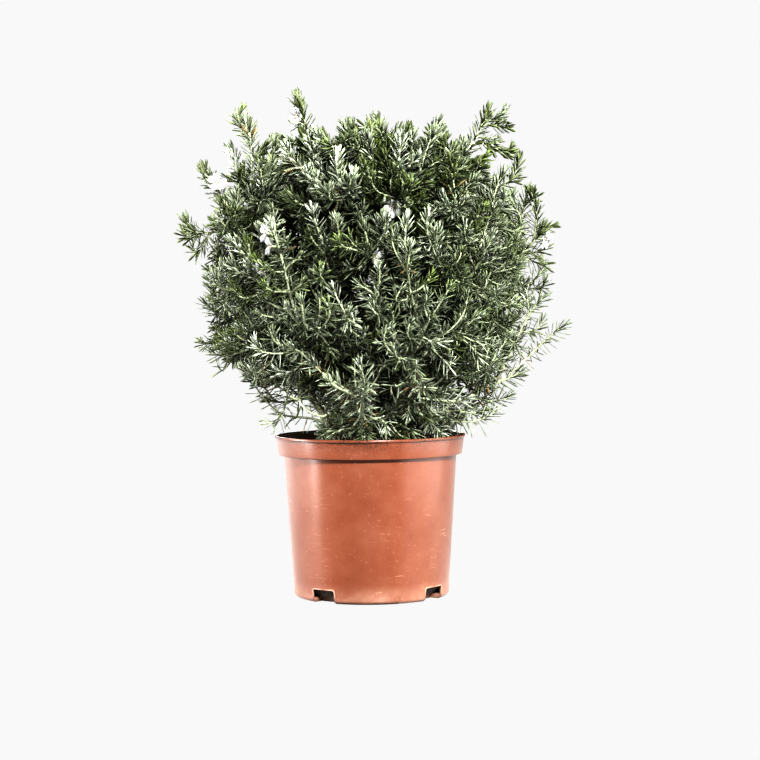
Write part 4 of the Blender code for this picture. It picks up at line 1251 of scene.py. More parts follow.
def stem_plan(stem, chance, open_spots):
    """One stem's wood, as polylines with thickness and age, and its whorls, clear of the blooms."""
    foot = stem["curve"][0] - stem["leaving"] * STEM_DEPTH_IN_SOIL
    wood, whorls = [], []
    branches = [(stem, LEAFY_LENGTHS, SHOOT_SILVER)]
    branches += [(shoot, LEAFY_LENGTHS, SHOOT_SILVER) for shoot in stem["shoots"]]
    branches += [(twig, TWIG_LEAFY_LENGTHS, TWIG_SILVER) for twig in stem["twigs"]]
    for number, (branch, lengths, silver_ranges) in enumerate(branches):
        over_rim = branch.get("over_rim", False)
        draws = random.Random(OVER_RIM_SEED) if over_rim else chance
        curve, radii = branch["curve"], branch["radii"]
        tip = curve[-1]
        leafy = min(draws.uniform(*lengths), LEAFIEST_SHARE * path_length(curve))
        young = 1.0 if draws.random() < YOUNG_SHARE else 0.0
        silver = silver_of(tip, silver_ranges, draws)
        if number == 0:
            wood.append(([foot] + curve, [STEM_FOOT_RADIUS] + radii))
        else:
            wood.append((curve, radii))
        low_twig = number > len(stem["shoots"]) and not over_rim and tip.z < BARE_BELOW
        kept_share = BARE_KEEP if low_twig and number % BARE_EVERY == 0 else 1
        for whorl in whorls_on(curve, radii, leafy, draws, young, silver):
            whorl["over_rim"] = over_rim
            whorl["keep"] *= kept_share
            whorls.append(whorl)
        for sprig in sprigs_on(curve, leafy, draws):
            wood.append((sprig, [SPRIG_RADIUS] * 2))
            whorls += sprig_whorls(sprig, draws, young, silver)
    kept = []
    for whorl in whorls:
        place = whorl["place"]
        beside_rim = abs(math.hypot(place.x, place.y) - BAND_FOOT_RADIUS) < RIM_LEAF_GAP
        if beside_rim and place.z < POT_HEIGHT + RIM_LEAF_GAP:
            continue
        if in_rim_window(place, RIM_WINDOW_RADIUS) and not whorl["over_rim"]:
            whorl["keep"] *= RIM_WINDOW_KEEP
        if all((place - spot).length > BLOOM_ROOM for spot in open_spots):
            kept.append(whorl)
    return wood, kept


def plan_mesh(name, wood, whorls):
    """The plan of a stem as a mesh: edges for the wood, loose points for the whorls."""
    points, edges, thickness, age = [], [], [], []
    for curve, radii in wood:
        length = path_length(curve)
        passed = 0.0
        for index, (point, radius) in enumerate(zip(curve, radii)):
            if index:
                edges.append((len(points) - 1, len(points)))
                passed += (point - curve[index - 1]).length
            points.append(point)
            thickness.append(radius)
            age.append(length - passed)
    blank = [0.0] * len(points)
    fields = {"thickness": thickness + [whorl["root"] for whorl in whorls],
              "age": age + [whorl["age"] for whorl in whorls],
              "deep": [depth_of(point) for point in points] + [whorl["deep"] for whorl in whorls],
              # Painted shade: bark is paler in the middle of the bush and darker towards its sides
              "silver": [1 - aside(point, BARK_SIDE_SHADE_POWER) for point in points],
              "is_whorl": blank + [1.0] * len(whorls)}
    fields["silver"] += [whorl["silver"] for whorl in whorls]
    for key in ("turn", "size", "keep", "young", "dry", "open"):
        fields[key] = blank + [whorl[key] for whorl in whorls]
    ways = [UP] * len(points) + [whorl["along"] for whorl in whorls]
    sides = [UP] * len(points) + [side_of(whorl["along"]) for whorl in whorls]
    points += [whorl["place"] for whorl in whorls]
    mesh = bpy.data.meshes.new(name)
    mesh.from_pydata(points, edges, [])
    for key, values in fields.items():
        mesh.attributes.new(key, 'FLOAT', 'POINT').data.foreach_set("value", values)
    for key, vectors in (("along", ways), ("side", sides)):
        flat = [part for vector in vectors for part in vector]
        mesh.attributes.new(key, 'FLOAT_VECTOR', 'POINT').data.foreach_set("vector", flat)
    return mesh


def blade_mesh(arch, bend):
    """One leaf along +X: an upper face raised along its middle, thin margins and a flat back.

    Its UV map runs across the upper face in the left half and across the back in the right half.
    """
    shape = bmesh.new()
    uv = shape.loops.layers.uv.new("UVMap")
    rings = []
    for share, width in LEAF_STATIONS:
        half = LEAF_WIDTH / 2 * width
        x = LEAF_LENGTH * share
        y = LEAF_LENGTH * bend * share ** 2
        z = LEAF_LENGTH * arch * share ** 2
        crown = LEAF_THICKNESS * width
        corners = [(x, y + half, z - crown), (x, y, z + crown * 0.5), (x, y - half, z - crown)]
        rings.append(([shape.verts.new(corner) for corner in corners], share))
    tip = shape.verts.new((LEAF_LENGTH, LEAF_LENGTH * bend, LEAF_LENGTH * arch))
    across = [(0.0, 0.25), (0.25, 0.5), (0.5, 1.0)]

    def add_face(corners, spots):
        face = shape.faces.new(corners)
        face.smooth = True
        for loop, spot in zip(face.loops, spots):
            loop[uv].uv = spot

    for (low, low_share), (high, high_share) in zip(rings, rings[1:]):
        for step, (left, right) in enumerate(across):
            after = (step + 1) % 3
            add_face((low[step], high[step], high[after], low[after]),
                     ((left, low_share), (left, high_share), (right, high_share), (right, low_share)))
    last, share = rings[-1]
    for step, (left, right) in enumerate(across):
        add_face((last[step], tip, last[(step + 1) % 3]),
                 ((left, share), ((left + right) / 2, 1.0), (right, share)))
    add_face(rings[0][0], ((0.0, 0.0), (0.25, 0.0), (0.5, 0.0)))
    for (low, _), (high, _) in zip(rings, rings[1:]):
        for margin in (0, 2):
            shape.edges.get((low[margin], high[margin])).smooth = False
    return finished_mesh("blade", shape)


def blade_meshes():
    return [blade_mesh(arch, bend) for arch, bend in zip(BLADE_ARCHES, BLADE_BENDS)]


def stem_tree():
    """Geometry nodes: bark tubes along the wood, and a whorl of leaves at every loose point."""
    inputs = [("Geometry", 'Geometry', None), ("Blades", 'Collection', None),
              ("Leaves in Whorl", 'Int', LEAVES_IN_WHORL), ("Tip Lean", 'Float', TIP_LEAN),
              ("Ascending Lean", 'Float', ASCENDING_LEAN), ("Spreading Lean", 'Float', SPREADING_LEAN),
              ("Lean Spread", 'Float', LEAN_SPREAD), ("Settled At", 'Float', SETTLED_AT),
              ("Bark Sides", 'Int', BARK_SIDES), ("Seed", 'Int', 0), ("Bark", 'Material', None),
              ("Leaf", 'Material', None)]
    tree, given, end = new_group("leafy_stem", 'GeometryNodeTree', inputs, ("Geometry", 'Geometry'))

    def field(name, kind='FLOAT'):
        found = add_node(tree, "GeometryNodeInputNamedAttribute", {"Name": name}, data_type=kind)
        return found.outputs["Attribute"]

    def chance(low, high, offset):
        seed = calculate(tree, 'ADD', given["Seed"], float(offset))
        drawn = add_node(tree, "FunctionNodeRandomValue", {2: low, 3: high, "Seed": seed}, data_type='FLOAT')
        return drawn.outputs[1]

    def scaled(vector, factor):
        return add_node(tree, "ShaderNodeVectorMath", {0: vector, 3: factor}, operation='SCALE').outputs[0]

    def added(first, second):
        return add_node(tree, "ShaderNodeVectorMath", {0: first, 1: second}, operation='ADD').outputs[0]

    def turned(vector, axis, angle):
        return add_node(tree, "ShaderNodeVectorRotate", {"Vector": vector, "Axis": axis, "Angle": angle},
                        rotation_type='AXIS_ANGLE').outputs[0]

    def between(share, low, high):
        inputs = {"Value": share, "To Min": low, "To Max": high}
        return add_node(tree, "ShaderNodeMapRange", inputs).outputs[0]

    def stored(geometry, name, value):
        inputs = {"Geometry": geometry, "Name": name, "Value": value}
        return add_node(tree, "GeometryNodeStoreNamedAttribute", inputs, data_type='FLOAT',
                        domain='POINT').outputs[0]

    # The bark, as thick as the plan says at each of its points
    parts = add_node(tree, "GeometryNodeSeparateGeometry", {
        0: given["Geometry"], 1: field("is_whorl")}).outputs
    wood = add_node(tree, "GeometryNodeMeshToCurve", {0: parts["Inverted"]}).outputs[0]
    ring = add_node(tree, "GeometryNodeCurvePrimitiveCircle", {
        "Resolution": given["Bark Sides"], "Radius": 1.0}).outputs[0]
    tube = add_node(tree, "GeometryNodeCurveToMesh", {
        "Curve": wood, "Profile Curve": ring, "Scale": field("thickness"), "Fill Caps": True}).outputs[0]
    bark = add_node(tree, "GeometryNodeSetMaterial", {0: tube, "Material": given["Bark"]}).outputs[0]

    # A point for each leaf of a whorl, less those that have dropped, and which way it faces from the shoot
    copies = add_node(tree, "GeometryNodeDuplicateElements", {
        "Geometry": parts["Selection"], "Amount": given["Leaves in Whorl"]}, domain='POINT').outputs
    dropped = calculate(tree, 'GREATER_THAN', chance(0.0, 1.0, 1), field("keep"))
    points = add_node(tree, "GeometryNodeDeleteGeometry", {0: copies[0], 1: dropped},
                      domain='POINT').outputs[0]
    age, opened, along = field("age"), field("open"), field("along", 'FLOAT_VECTOR')
    step = times(tree, copies["Duplicate Index"], 2 * math.pi / LEAVES_IN_WHORL)
    around = calculate(tree, 'ADD', calculate(tree, 'ADD', step, field("turn")),
                       chance(-LEAF_TURN_SPREAD, LEAF_TURN_SPREAD, 2))
    points = stored(stored(points, "around", around), "tint", chance(0.0, 1.0, 3))
    out = turned(field("side", 'FLOAT_VECTOR'), along, field("around"))
    # How it leans from the shoot: little at the tip, more as it ages, then drooping and rolled
    settled = calculate(tree, 'DIVIDE', age, given["Settled At"], clamp=True)
    settled = calculate(tree, 'POWER', settled, SETTLING)
    spread = times(tree, chance(-1.0, 1.0, 4), given["Lean Spread"])
    settled_lean = between(opened, given["Ascending Lean"], given["Spreading Lean"])
    lean = calculate(tree, 'ADD', between(settled, given["Tip Lean"], settled_lean), spread)
    rise, reach = calculate(tree, 'COSINE', lean), calculate(tree, 'SINE', lean)
    droop = times(tree, times(tree, settled, opened), chance(*LEAF_DROOP, 5))
    sag = add_node(tree, "ShaderNodeCombineXYZ", {2: droop}).outputs[0]
    way = added(added(scaled(along, rise), scaled(out, reach)), sag)
    face = added(scaled(along, reach), scaled(out, times(tree, rise, -1.0)))
    face = turned(face, way, chance(-LEAF_ROLL, LEAF_ROLL, 6))
    rotation = add_node(tree, "FunctionNodeAxesToRotation", {0: way, 1: face}, primary_axis='X',
                        secondary_axis='Z').outputs[0]
    # Its size, its place on the bark, and the blade that stands there: more bent when older
    size = times(tree, field("size"), chance(*LEAF_SIZES, 7))
    breadth = calculate(tree, 'SUBTRACT', chance(*LEAF_BREADTHS, 8), times(tree, opened, OPEN_SLIMMING))
    length = calculate(tree, 'ADD', times(tree, opened, OPEN_LENGTHENING), 1.0)
    scale = add_node(tree, "ShaderNodeCombineXYZ", {
        0: times(tree, size, length), 1: times(tree, size, breadth), 2: size}).outputs[0]
    shift = added(scaled(out, field("thickness")), scaled(along, chance(-LEAF_SLIDE, LEAF_SLIDE, 9)))
    points = add_node(tree, "GeometryNodeSetPosition", {"Geometry": points, "Offset": shift}).outputs[0]
    source = add_node(tree, "GeometryNodeCollectionInfo", {
        "Collection": given["Blades"], "Separate Children": True, "Reset Children": True}).outputs[0]
    pick = calculate(tree, 'FLOOR', calculate(tree, 'ADD', times(tree, settled, 2.0), chance(0.0, 1.9, 10)))
    leaves = add_node(tree, "GeometryNodeInstanceOnPoints", {
        "Points": points, "Instance": source, "Pick Instance": True, "Instance Index": pick,
        "Rotation": rotation, "Scale": scale})
    real = add_node(tree, "GeometryNodeRealizeInstances", {"Geometry": leaves.outputs[0]}).outputs[0]
    leafed = add_node(tree, "GeometryNodeSetMaterial", {0: real, "Material": given["Leaf"]}).outputs[0]
    joined = tree.nodes.new("GeometryNodeJoinGeometry")
    for grown in (leafed, bark):
        tree.links.new(grown, joined.inputs[0])
    result = joined.outputs[0]
    for name in PLAN_ONLY_FIELDS:
        result = add_node(tree, "GeometryNodeRemoveAttribute", {"Geometry": result, "Name": name}).outputs[0]
    tree.links.new(result, end.inputs[0])
    return tree


def attribute(tree, name):
    """A number that the piece's mesh carries."""
    return add_node(tree, "ShaderNodeAttribute", None, attribute_name=name).outputs["Fac"]


def leaf_material():
    """Grey-green above with pale rolled margins, white-felted below, yellow-green when young."""
    material, tree, shader = new_material("rosemary_leaf", 0.52)
    spot = add_node(tree, "ShaderNodeUVMap", None, uv_map="UVMap").outputs[0]
    across, along, _ = add_node(tree, "ShaderNodeSeparateXYZ", {0: spot}).outputs
    under = calculate(tree, 'GREATER_THAN', across, 0.5)
    local = calculate(tree, 'FRACT', times(tree, across, 2.0))
    edge = calculate(tree, 'ABSOLUTE', calculate(tree, 'SUBTRACT', local, 0.5))
    tint, silver = attribute(tree, "tint"), attribute(tree, "silver")
    felt = noise_at(tree, object_place(tree), 900.0, 3.0)
    upper = lay_over(tree, mix_colours(tree, tint, *LEAF_GREENS), LEAF_SILVER, silver, 0.90)
    newest = ramp_between(tree, attribute(tree, "age"), 0.0, 0.016, 0.45, 0.0)
    fresh = times(tree, newest, ramp_between(tree, silver, 0.1, 0.6, 0.30, 1.0))
    upper = mix_colours(tree, fresh, upper, LEAF_FRESH)
    margin = ramp_between(tree, edge, 0.28, 0.44)
    rib = ramp_between(tree, edge, 0.02, 0.09, 0.30, 0.0)
    pale = mix_colours(tree, silver, *MARGIN_COLOURS)
    upper = mix_colours(tree, calculate(tree, 'MAXIMUM', margin, rib), upper, pale)
    back = mix_colours(tree, silver, mix_colours(tree, felt, *BACK_COLOURS), BACK_SILVER)
    back = mix_colours(tree, ramp_between(tree, edge, 0.02, 0.08, 0.5, 0.0), back, BACK_RIB)
    colour = mix_colours(tree, under, upper, back)
    colour = lay_over(tree, colour, LEAF_YOUNG, attribute(tree, "young"), 0.55)
    colour = mix_colours(tree, ramp_between(tree, along, 0.0, 0.14, 0.5, 0.0), colour, LEAF_BASE)
    # Painted shade: leaves with a low tint, drawn at random, are darkened towards black
    colour = mix_colours(tree, ramp_between(tree, tint, 0.15, 0.50, 0.66, 0.0), colour, LEAF_DIM_SHADE)
    brown = mix_colours(tree, tint, *LEAF_BROWNS)
    colour = mix_colours(tree, attribute(tree, "dry"), colour, brown)
    # Painted shade: leaves deep in the bush are darkened nearly to black
    colour = lay_over(tree, colour, LEAF_DEEP_SHADE, attribute(tree, "deep"), 0.96)
    tree.links.new(colour, shader.inputs["Base Color"])
    rough = add_node(tree, "ShaderNodeMix", {0: under, 2: 0.42, 3: 0.85}, data_type='FLOAT').outputs[0]
    tree.links.new(rough, shader.inputs["Roughness"])
    shader.inputs["Specular IOR Level"].default_value = 0.16
    shader.inputs["Specular Tint"].default_value = (0.85, 1.0, 0.35, 1)
    add_bump(tree, shader, felt, 0.4, 0.0002)
    return material


def bark_material():
    """Whitish green and felted on young shoots, tan below, grey-brown at the woody foot, and darkened as
    painted shade towards the bush's sides and deep inside it.
    """
    material, tree, shader = new_material("rosemary_bark", 0.72)
    place = object_place(tree)
    flat = add_node(tree, "ShaderNodeMapping", {"Vector": place, "Scale": (700, 700, 160)}).outputs[0]
    streaks = noise_at(tree, flat, 1.0, 4.0)
    age = calculate(tree, 'ADD', attribute(tree, "age"), times(tree, streaks, 0.03))
    # Painted shade: the bark's pale colour fades towards the bush's sides
    pale = attribute(tree, "silver")
    young, older = mix_colours(tree, pale, *YOUNG_BARK), mix_colours(tree, pale, *OLDER_BARK)
    colour = mix_colours(tree, ramp_between(tree, age, 0.020, 0.085), young, older)
    colour = mix_colours(tree, ramp_between(tree, age, 0.10, 0.20), colour, TAN_BARK)
    colour = mix_colours(tree, ramp_between(tree, age, 0.20, 0.30), colour, WOODY_BARK)
    colour = mix_colours(tree, ramp_between(tree, streaks, 0.5, 0.7, 0.0, 0.5), colour, BARK_STREAKS)
    # Painted shade: bark deep in the bush is darkened
    colour = lay_over(tree, colour, BARK_DEEP_SHADE, attribute(tree, "deep"), 0.7)
    tree.links.new(colour, shader.inputs["Base Color"])
    add_bump(tree, shader, streaks, 0.6, 0.0005)
    return material


def bloom_frame(stems, place, kind="line"):
    """The base point, the axis and the shoot's direction for the flower nearest to a place."""
    choices = []
    for stem in stems:
        for shoot in [stem] + stem["shoots"] + (stem["twigs"] if kind == "curve" else []):
            length = path_length(shoot[kind])
            for step in range(BLOOM_STEPS + 1):
                below_tip = BLOOM_BELOW_TIP + BLOOM_RANGE * step / BLOOM_STEPS
                share = max(BLOOM_LOWEST_SHARE, 1 - below_tip / length)
                choices.append(point_on_path(shoot[kind], share))
    point, along = min(choices, key=lambda choice: (place - choice[0]).length)
    outward = place - point
    outward -= along * outward.dot(along)
    if outward.length < NO_OFFSET:
        outward = Vector((point.x, point.y, 0))
        outward -= along * outward.dot(along)
    axis = (outward.normalized() + along * BLOOM_LEAN).normalized()
    return point + outward.normalized() * (SHOOT_FOOT_RADIUS + SEAT_GAP), axis, along


def make_stems():
    """Every leafy stem; gives the stems, and where each bloom sits on them."""
    stems = grow_stems(Space())
    chance = random.Random(SEED)
    sprout_twigs(stems, chance)
    frames = [bloom_frame(stems, Vector(place) / 1000) for place in BLOOM_PLACES]
    open_spots = [base + axis * BLOOM_ROOM for base, axis, _ in frames]
    tree = stem_tree()
    blades = kept_aside("blade", blade_meshes())
    bark, leaf = bark_material(), leaf_material()
    for stem in stems:
        name = f"leafy_stem_{stem['number'] + 1:02d}"
        mesh = plan_mesh(name + "_foliage", *stem_plan(stem, chance, open_spots))
        made = grow_by_nodes(name + "_foliage", mesh, tree, {
            "Blades": blades, "Seed": stem["number"] * SEEDS_PER_STEM, "Bark": bark, "Leaf": leaf})
        seat(made, "foliage", name)
    drop_collection(blades)
    return stems, frames


stems, bloom_frames = make_stems()

# Blooms
# Thirteen white flowers on the young shoots: a short tube in a green calyx with five teeth, which
# opens into two upright and three spreading lobes, spotted at the throat, round four stamens.

PETAL_ANGLES = [math.radians(angle) for angle in (58, 122, 205, 270, 335)]
PETAL_LIFTS = [math.radians(lift) for lift in (34, 28, 28, 20, 24)]
PETAL_LENGTH = 0.0098
PETAL_WIDTH = 0.0078
PETAL_THICKNESS = 0.00026
PETAL_STEPS = 6
PETAL_WIDTHS = [0.26, 0.46, 0.74, 0.95, 1.02, 0.92, 0.54]
PETAL_ACROSS = [-1.0, -0.55, 0.0, 0.55, 1.0]
THROAT_LIFT = math.radians(72)
PETAL_ROOT = 0.0012
PETAL_SINK = 0.0006
PETAL_CURLS = (0.10, 0.30)
PETAL_SKEW = 0.10
PETAL_OPENING = 2.2
PETAL_FLATTENING = 1.6
PETAL_END_DIP = 0.0007
PETAL_LIFT_SPREAD = 0.15
BLOOM_TUBE_LENGTH = 0.0055
BLOOM_TUBE_RADII = [0.0008, 0.0009, 0.0011, 0.0014, 0.0018]
BLOOM_TUBE_SHARE = 0.15
TUBE_SIDES = 10
CALYX_SIDES = 10
CALYX_SINK = 0.0004
# The calyx's rings, and a tooth's point and the gap beside it, as (share of its length, swell)
CALYX_RINGS = [(0.0, 0.45), (0.30, 0.85), (0.62, 1.0)]
CALYX_TOOTH = (1.0, 1.25)
CALYX_GAP = (0.66, 1.02)
# The length and the radius of a calyx
BLOOM_CALYX = (0.0042, 0.0015)
BUD_CALYX = (0.0036, 0.0014)
STAMEN_TURNS = [math.radians(turn) for turn in (60, 120, 235, 305)]
STAMEN_LEAN = math.radians(20)
STAMEN_LENGTH = 0.0036
STAMEN_FOOT = 0.0007
STAMEN_RADII = [0.00016] * 3
STAMEN_SIDES = 5
ANTHER_REACHES = [-0.0003, 0.0002, 0.0007]
ANTHER_RADII = [0.0003, 0.0005, 0.0003]
ANTHER_SIDES = 6
BUD_REACHES = [0.0012, 0.0026, 0.0042, 0.0056, 0.0064]
BUD_RADII = [0.0008, 0.0012, 0.0016, 0.0013, 0.0005]
BUD_SIZES = (0.8, 1.15)
BUD_SHARES = (0.4, 0.9)
# Places of closed buds, in millimetres
BUD_PLACES = [
    (23, -120, 365), (10, -125, 376), (16, -122, 383), (-95, -20, 433), (-140, -25, 428),
    (-112, -108, 359), (-96, -115, 353), (176, -10, 369), (188, -8, 353), (70, 115, 391),
    (-55, 138, 341), (125, 92, 313), (-84, -30, 458), (34, -118, 407), (-118, -105, 352),
    (-106, -112, 334), (-98, -115, 362),
]

PETAL_COLOURS = (0.53, 0.55, 0.52), (0.36, 0.37, 0.39)
THROAT_COLOUR = (0.58, 0.60, 0.44)
SPOT_COLOUR = (0.26, 0.12, 0.10)
STAMEN_COLOUR = (0.86, 0.86, 0.84)
ANTHER_COLOURS = (0.09, 0.045, 0.03), (0.24, 0.14, 0.09)
CALYX_COLOURS = (0.16, 0.22, 0.09), (0.36, 0.42, 0.22)


def across_axis(axis, along):
    """The upward and the rightward direction across a flower's axis."""
    up = (along - axis * along.dot(axis)).normalized()
    return up, up.cross(axis)


def petal_part(throat, axis, out, lift, chance):
    """One lobe as points, faces and how far along it each point lies: funnel first, then spread."""
    side = axis.cross(out).normalized()
    centre = throat + out * PETAL_ROOT
    half = PETAL_WIDTH / 2
    curl, skew = chance.uniform(*PETAL_CURLS), chance.uniform(-PETAL_SKEW, PETAL_SKEW)
    top, bottom, shares = [], [], []
    for step, width in enumerate(PETAL_WIDTHS):
        share = step / PETAL_STEPS
        opened = min(1.0, share * PETAL_OPENING)
        rise = THROAT_LIFT + (lift - THROAT_LIFT) * opened * (2 - opened)
        way = out * math.cos(rise) + axis * math.sin(rise)
        face = axis * math.cos(rise) - out * math.sin(rise)
        if step:
            centre = centre + way * PETAL_LENGTH / PETAL_STEPS
        for across in PETAL_ACROSS:
            reach = across * width * half + skew * share * half
            cup = curl * across ** 2 * half * (1 - share * PETAL_FLATTENING)
            end_dip = PETAL_END_DIP * (1 - abs(across)) if step == PETAL_STEPS else 0.0
            point = centre + side * reach + face * cup - way * end_dip
            top.append(point + face * PETAL_THICKNESS / 2)
            bottom.append(point - face * PETAL_THICKNESS / 2)
            shares.append(share)
    row, count = len(PETAL_ACROSS), len(top)
    faces = []
    for step in range(PETAL_STEPS):
        for place in range(row - 1):
            a, b = step * row + place, step * row + place + 1
            faces.append((a, b, b + row, a + row))
            faces.append((b + count, a + count, a + row + count, b + row + count))
    rim = list(range(row)) + [step * row + row - 1 for step in range(1, PETAL_STEPS + 1)]
    rim += [PETAL_STEPS * row + place for place in reversed(range(row - 1))]
    rim += [step * row for step in reversed(range(1, PETAL_STEPS))]
    for here, after in zip(rim, rim[1:] + rim[:1]):
        faces.append((after, here, here + count, after + count))
    return top + bottom, faces, shares * 2


def mesh_from_parts(name, parts):
    """One mesh from several (points, faces, shares), with the shares as an attribute."""
    points, faces, shares = [], [], []
    for part_points, part_faces, part_shares in parts:
        faces += [tuple(index + len(points) for index in face) for face in part_faces]
        points += part_points
        shares += part_shares
    mesh = bpy.data.meshes.new(name)
    mesh.from_pydata(points, [], faces)
    mesh.attributes.new("share", 'FLOAT', 'POINT').data.foreach_set("value", shares)
    shape = bmesh.new()
    shape.from_mesh(mesh)
    bmesh.ops.recalc_face_normals(shape, faces=shape.faces)
    shape.to_mesh(mesh)
    shape.free()
    mesh.shade_smooth()
    return mesh


def tube_part(path, radii, sides, share):
    """A closed tube as points, faces and one share for all of it."""
    mesh = tube_mesh("part", path, radii, sides)
    points = [vert.co.copy() for vert in mesh.vertices]
    faces = [tuple(face.vertices) for face in mesh.polygons]
    bpy.data.meshes.remove(mesh)
    return points, faces, [share] * len(points)


def calyx_part(base, axis, up, right, length, radius):
    """A cup with five pointed teeth, closed inside the flower's tube."""
    sides = CALYX_SIDES
    rings = [[ring] * sides for ring in CALYX_RINGS]
    rings.append([CALYX_TOOTH if step % 2 == 0 else CALYX_GAP for step in range(sides)])
    points = []
    for ring in rings:
        for step, (share, swell) in enumerate(ring):
            turn = 2 * math.pi * step / sides
            across = right * math.cos(turn) + up * math.sin(turn)
            points.append(base + axis * length * share + across * radius * swell)
    foot = len(points)
    faces = []
    for level in range(len(rings) - 1):
        for step in range(sides):
            a, b = level * sides + step, level * sides + (step + 1) % sides
            faces.append((a, b, b + sides, a + sides))
    points += [base.copy(), base + axis * length * 0.5]
    for step in range(sides):
        after = (step + 1) % sides
        faces.append((after, step, foot))
        faces.append((foot - sides + step, foot - sides + after, foot + 1))
    return points, faces, [0.0] * len(points)


def petal_material():
    """Thin white petals clouded with violet-grey, greenish and brown-spotted at the throat."""
    material, tree, shader = new_material("white_petal", 0.55)
    share, place = attribute(tree, "share"), object_place(tree)
    clouds = noise_at(tree, place, 420.0, 3.0)
    colour = mix_colours(tree, ramp_between(tree, clouds, 0.35, 0.65), *PETAL_COLOURS)
    colour = lay_over(tree, colour, THROAT_COLOUR, ramp_between(tree, share, 0.05, 0.42, 1.0, 0.0), 0.6)
    grains = ramp_between(tree, noise_at(tree, place, 1700.0, 1.0), 0.56, 0.60)
    spots = times(tree, grains, ramp_between(tree, share, 0.28, 0.42, 1.0, 0.0))
    colour = mix_colours(tree, spots, colour, SPOT_COLOUR)
    tree.links.new(colour, shader.inputs["Base Color"])
    add_bump(tree, shader, clouds, 0.35, 0.0003)
    return material


def stamen_material():
    """White threads with brown anthers."""
    material, tree, shader = new_material("stamen", 0.6)
    clouds = noise_at(tree, object_place(tree), 2500.0)
    brown = mix_colours(tree, clouds, *ANTHER_COLOURS)
    colour = mix_colours(tree, attribute(tree, "share"), STAMEN_COLOUR, brown)
    tree.links.new(colour, shader.inputs["Base Color"])
    return material


def stamen_parts(throat, axis, out):
    """A thread that leans outward, and the anther on its end."""
    way = axis * math.cos(STAMEN_LEAN) + out * math.sin(STAMEN_LEAN)
    start = throat + out * STAMEN_FOOT - axis * PETAL_SINK
    end = start + way * STAMEN_LENGTH
    thread = tube_part([start, start.lerp(end, 0.5), end], STAMEN_RADII, STAMEN_SIDES, 0.0)
    anther = tube_part([end + way * reach for reach in ANTHER_REACHES], ANTHER_RADII, ANTHER_SIDES, 1.0)
    return [thread, anther]


def make_blooms():
    chance = random.Random(SEED)
    petals = petal_material()
    calyces, stamens, buds = [], [], []
    steps = len(BLOOM_TUBE_RADII) - 1
    for number, (base, axis, along) in enumerate(bloom_frames):
        up, right = across_axis(axis, along)
        throat = base + axis * BLOOM_TUBE_LENGTH
        path = [base + axis * BLOOM_TUBE_LENGTH * step / steps for step in range(steps + 1)]
        parts = [tube_part(path, BLOOM_TUBE_RADII, TUBE_SIDES, BLOOM_TUBE_SHARE)]
        for angle, lift in zip(PETAL_ANGLES, PETAL_LIFTS):
            out = right * math.cos(angle) + up * math.sin(angle)
            lift += chance.uniform(-PETAL_LIFT_SPREAD, PETAL_LIFT_SPREAD)
            parts.append(petal_part(throat - axis * PETAL_SINK, axis, out, lift, chance))
        name = f"bloom_{number + 1:02d}"
        flower = add_piece(name + "_flower", mesh_from_parts(name, parts), petals)
        seat(flower, "petals", name)
        calyces.append(calyx_part(base - axis * CALYX_SINK, axis, up, right, *BLOOM_CALYX))
        for turn in STAMEN_TURNS:
            stamens += stamen_parts(throat, axis, right * math.cos(turn) + up * math.sin(turn))
    for place in BUD_PLACES:
        base, axis, along = bloom_frame(stems, Vector(place) / 1000, "curve")
        up, right = across_axis(axis, along)
        size = chance.uniform(*BUD_SIZES)
        path = [base + axis * reach * size for reach in BUD_REACHES]
        radii = [radius * size for radius in BUD_RADII]
        buds.append(tube_part(path, radii, TUBE_SIDES, chance.uniform(*BUD_SHARES)))
        calyces.append(calyx_part(base - axis * CALYX_SINK, axis, up, right, *BUD_CALYX))
    green = plain_material("calyx_green", CALYX_COLOURS, 800.0, 0.7)
    seat(add_piece("closed_buds", mesh_from_parts("closed_buds", buds), petals), "petals")
    seat(add_piece("calyces", mesh_from_parts("calyces", calyces), green), "foliage")
    seat(add_piece("stamens", mesh_from_parts("stamens", stamens), stamen_material()), "petals")


make_blooms()

# Litter
# Brown dry leaves and thin grey dead twigs of the plant itself, which have dropped from the bush and
# lie loose on the soil.

# How many lie on a square metre, their least and most size, their tilt, height and reach
DRY_LEAVES = (2600.0, (0.8, 1.3), 0.35, 0.0008, BAND_FOOT_RADIUS - 0.012)
DEAD_TWIGS = (900.0, (0.7, 1.1), 0.10, 0.0016, 0.066)
LITTER_SEED = SOIL_SEED + 10
# The length and the bend of each dead twig
DEAD_TWIG_SHAPES = [(0.026, 0.5), (0.032, -0.4), (0.021, 0.2)]
DEAD_TWIG_WAVE = 0.03
DEAD_TWIG_RISE = 0.08
DEAD_TWIG_RADII = [0.0006, 0.00055, 0.0005, 0.0005, 0.00045, 0.0004, 0.0003]
DEAD_TWIG_SIDES = 6

DRY_LEAF_COLOURS = (0.13, 0.075, 0.035), (0.34, 0.25, 0.15)
DEAD_TWIG_COLOURS = (0.42, 0.38, 0.30), (0.24, 0.19, 0.14)


def dead_twig_mesh(length, bend, seed):
    chance = random.Random(seed)
    steps = len(DEAD_TWIG_RADII) - 1
    path = []
    for step in range(steps + 1):
        share = step / steps - 0.5
        swerve = bend * share * share + chance.uniform(-DEAD_TWIG_WAVE, DEAD_TWIG_WAVE)
        height = length * DEAD_TWIG_RISE * (share + 0.5)
        path.append(Vector((length * share, length * swerve, height)))
    return tube_mesh("dead_twig", path, DEAD_TWIG_RADII, DEAD_TWIG_SIDES)


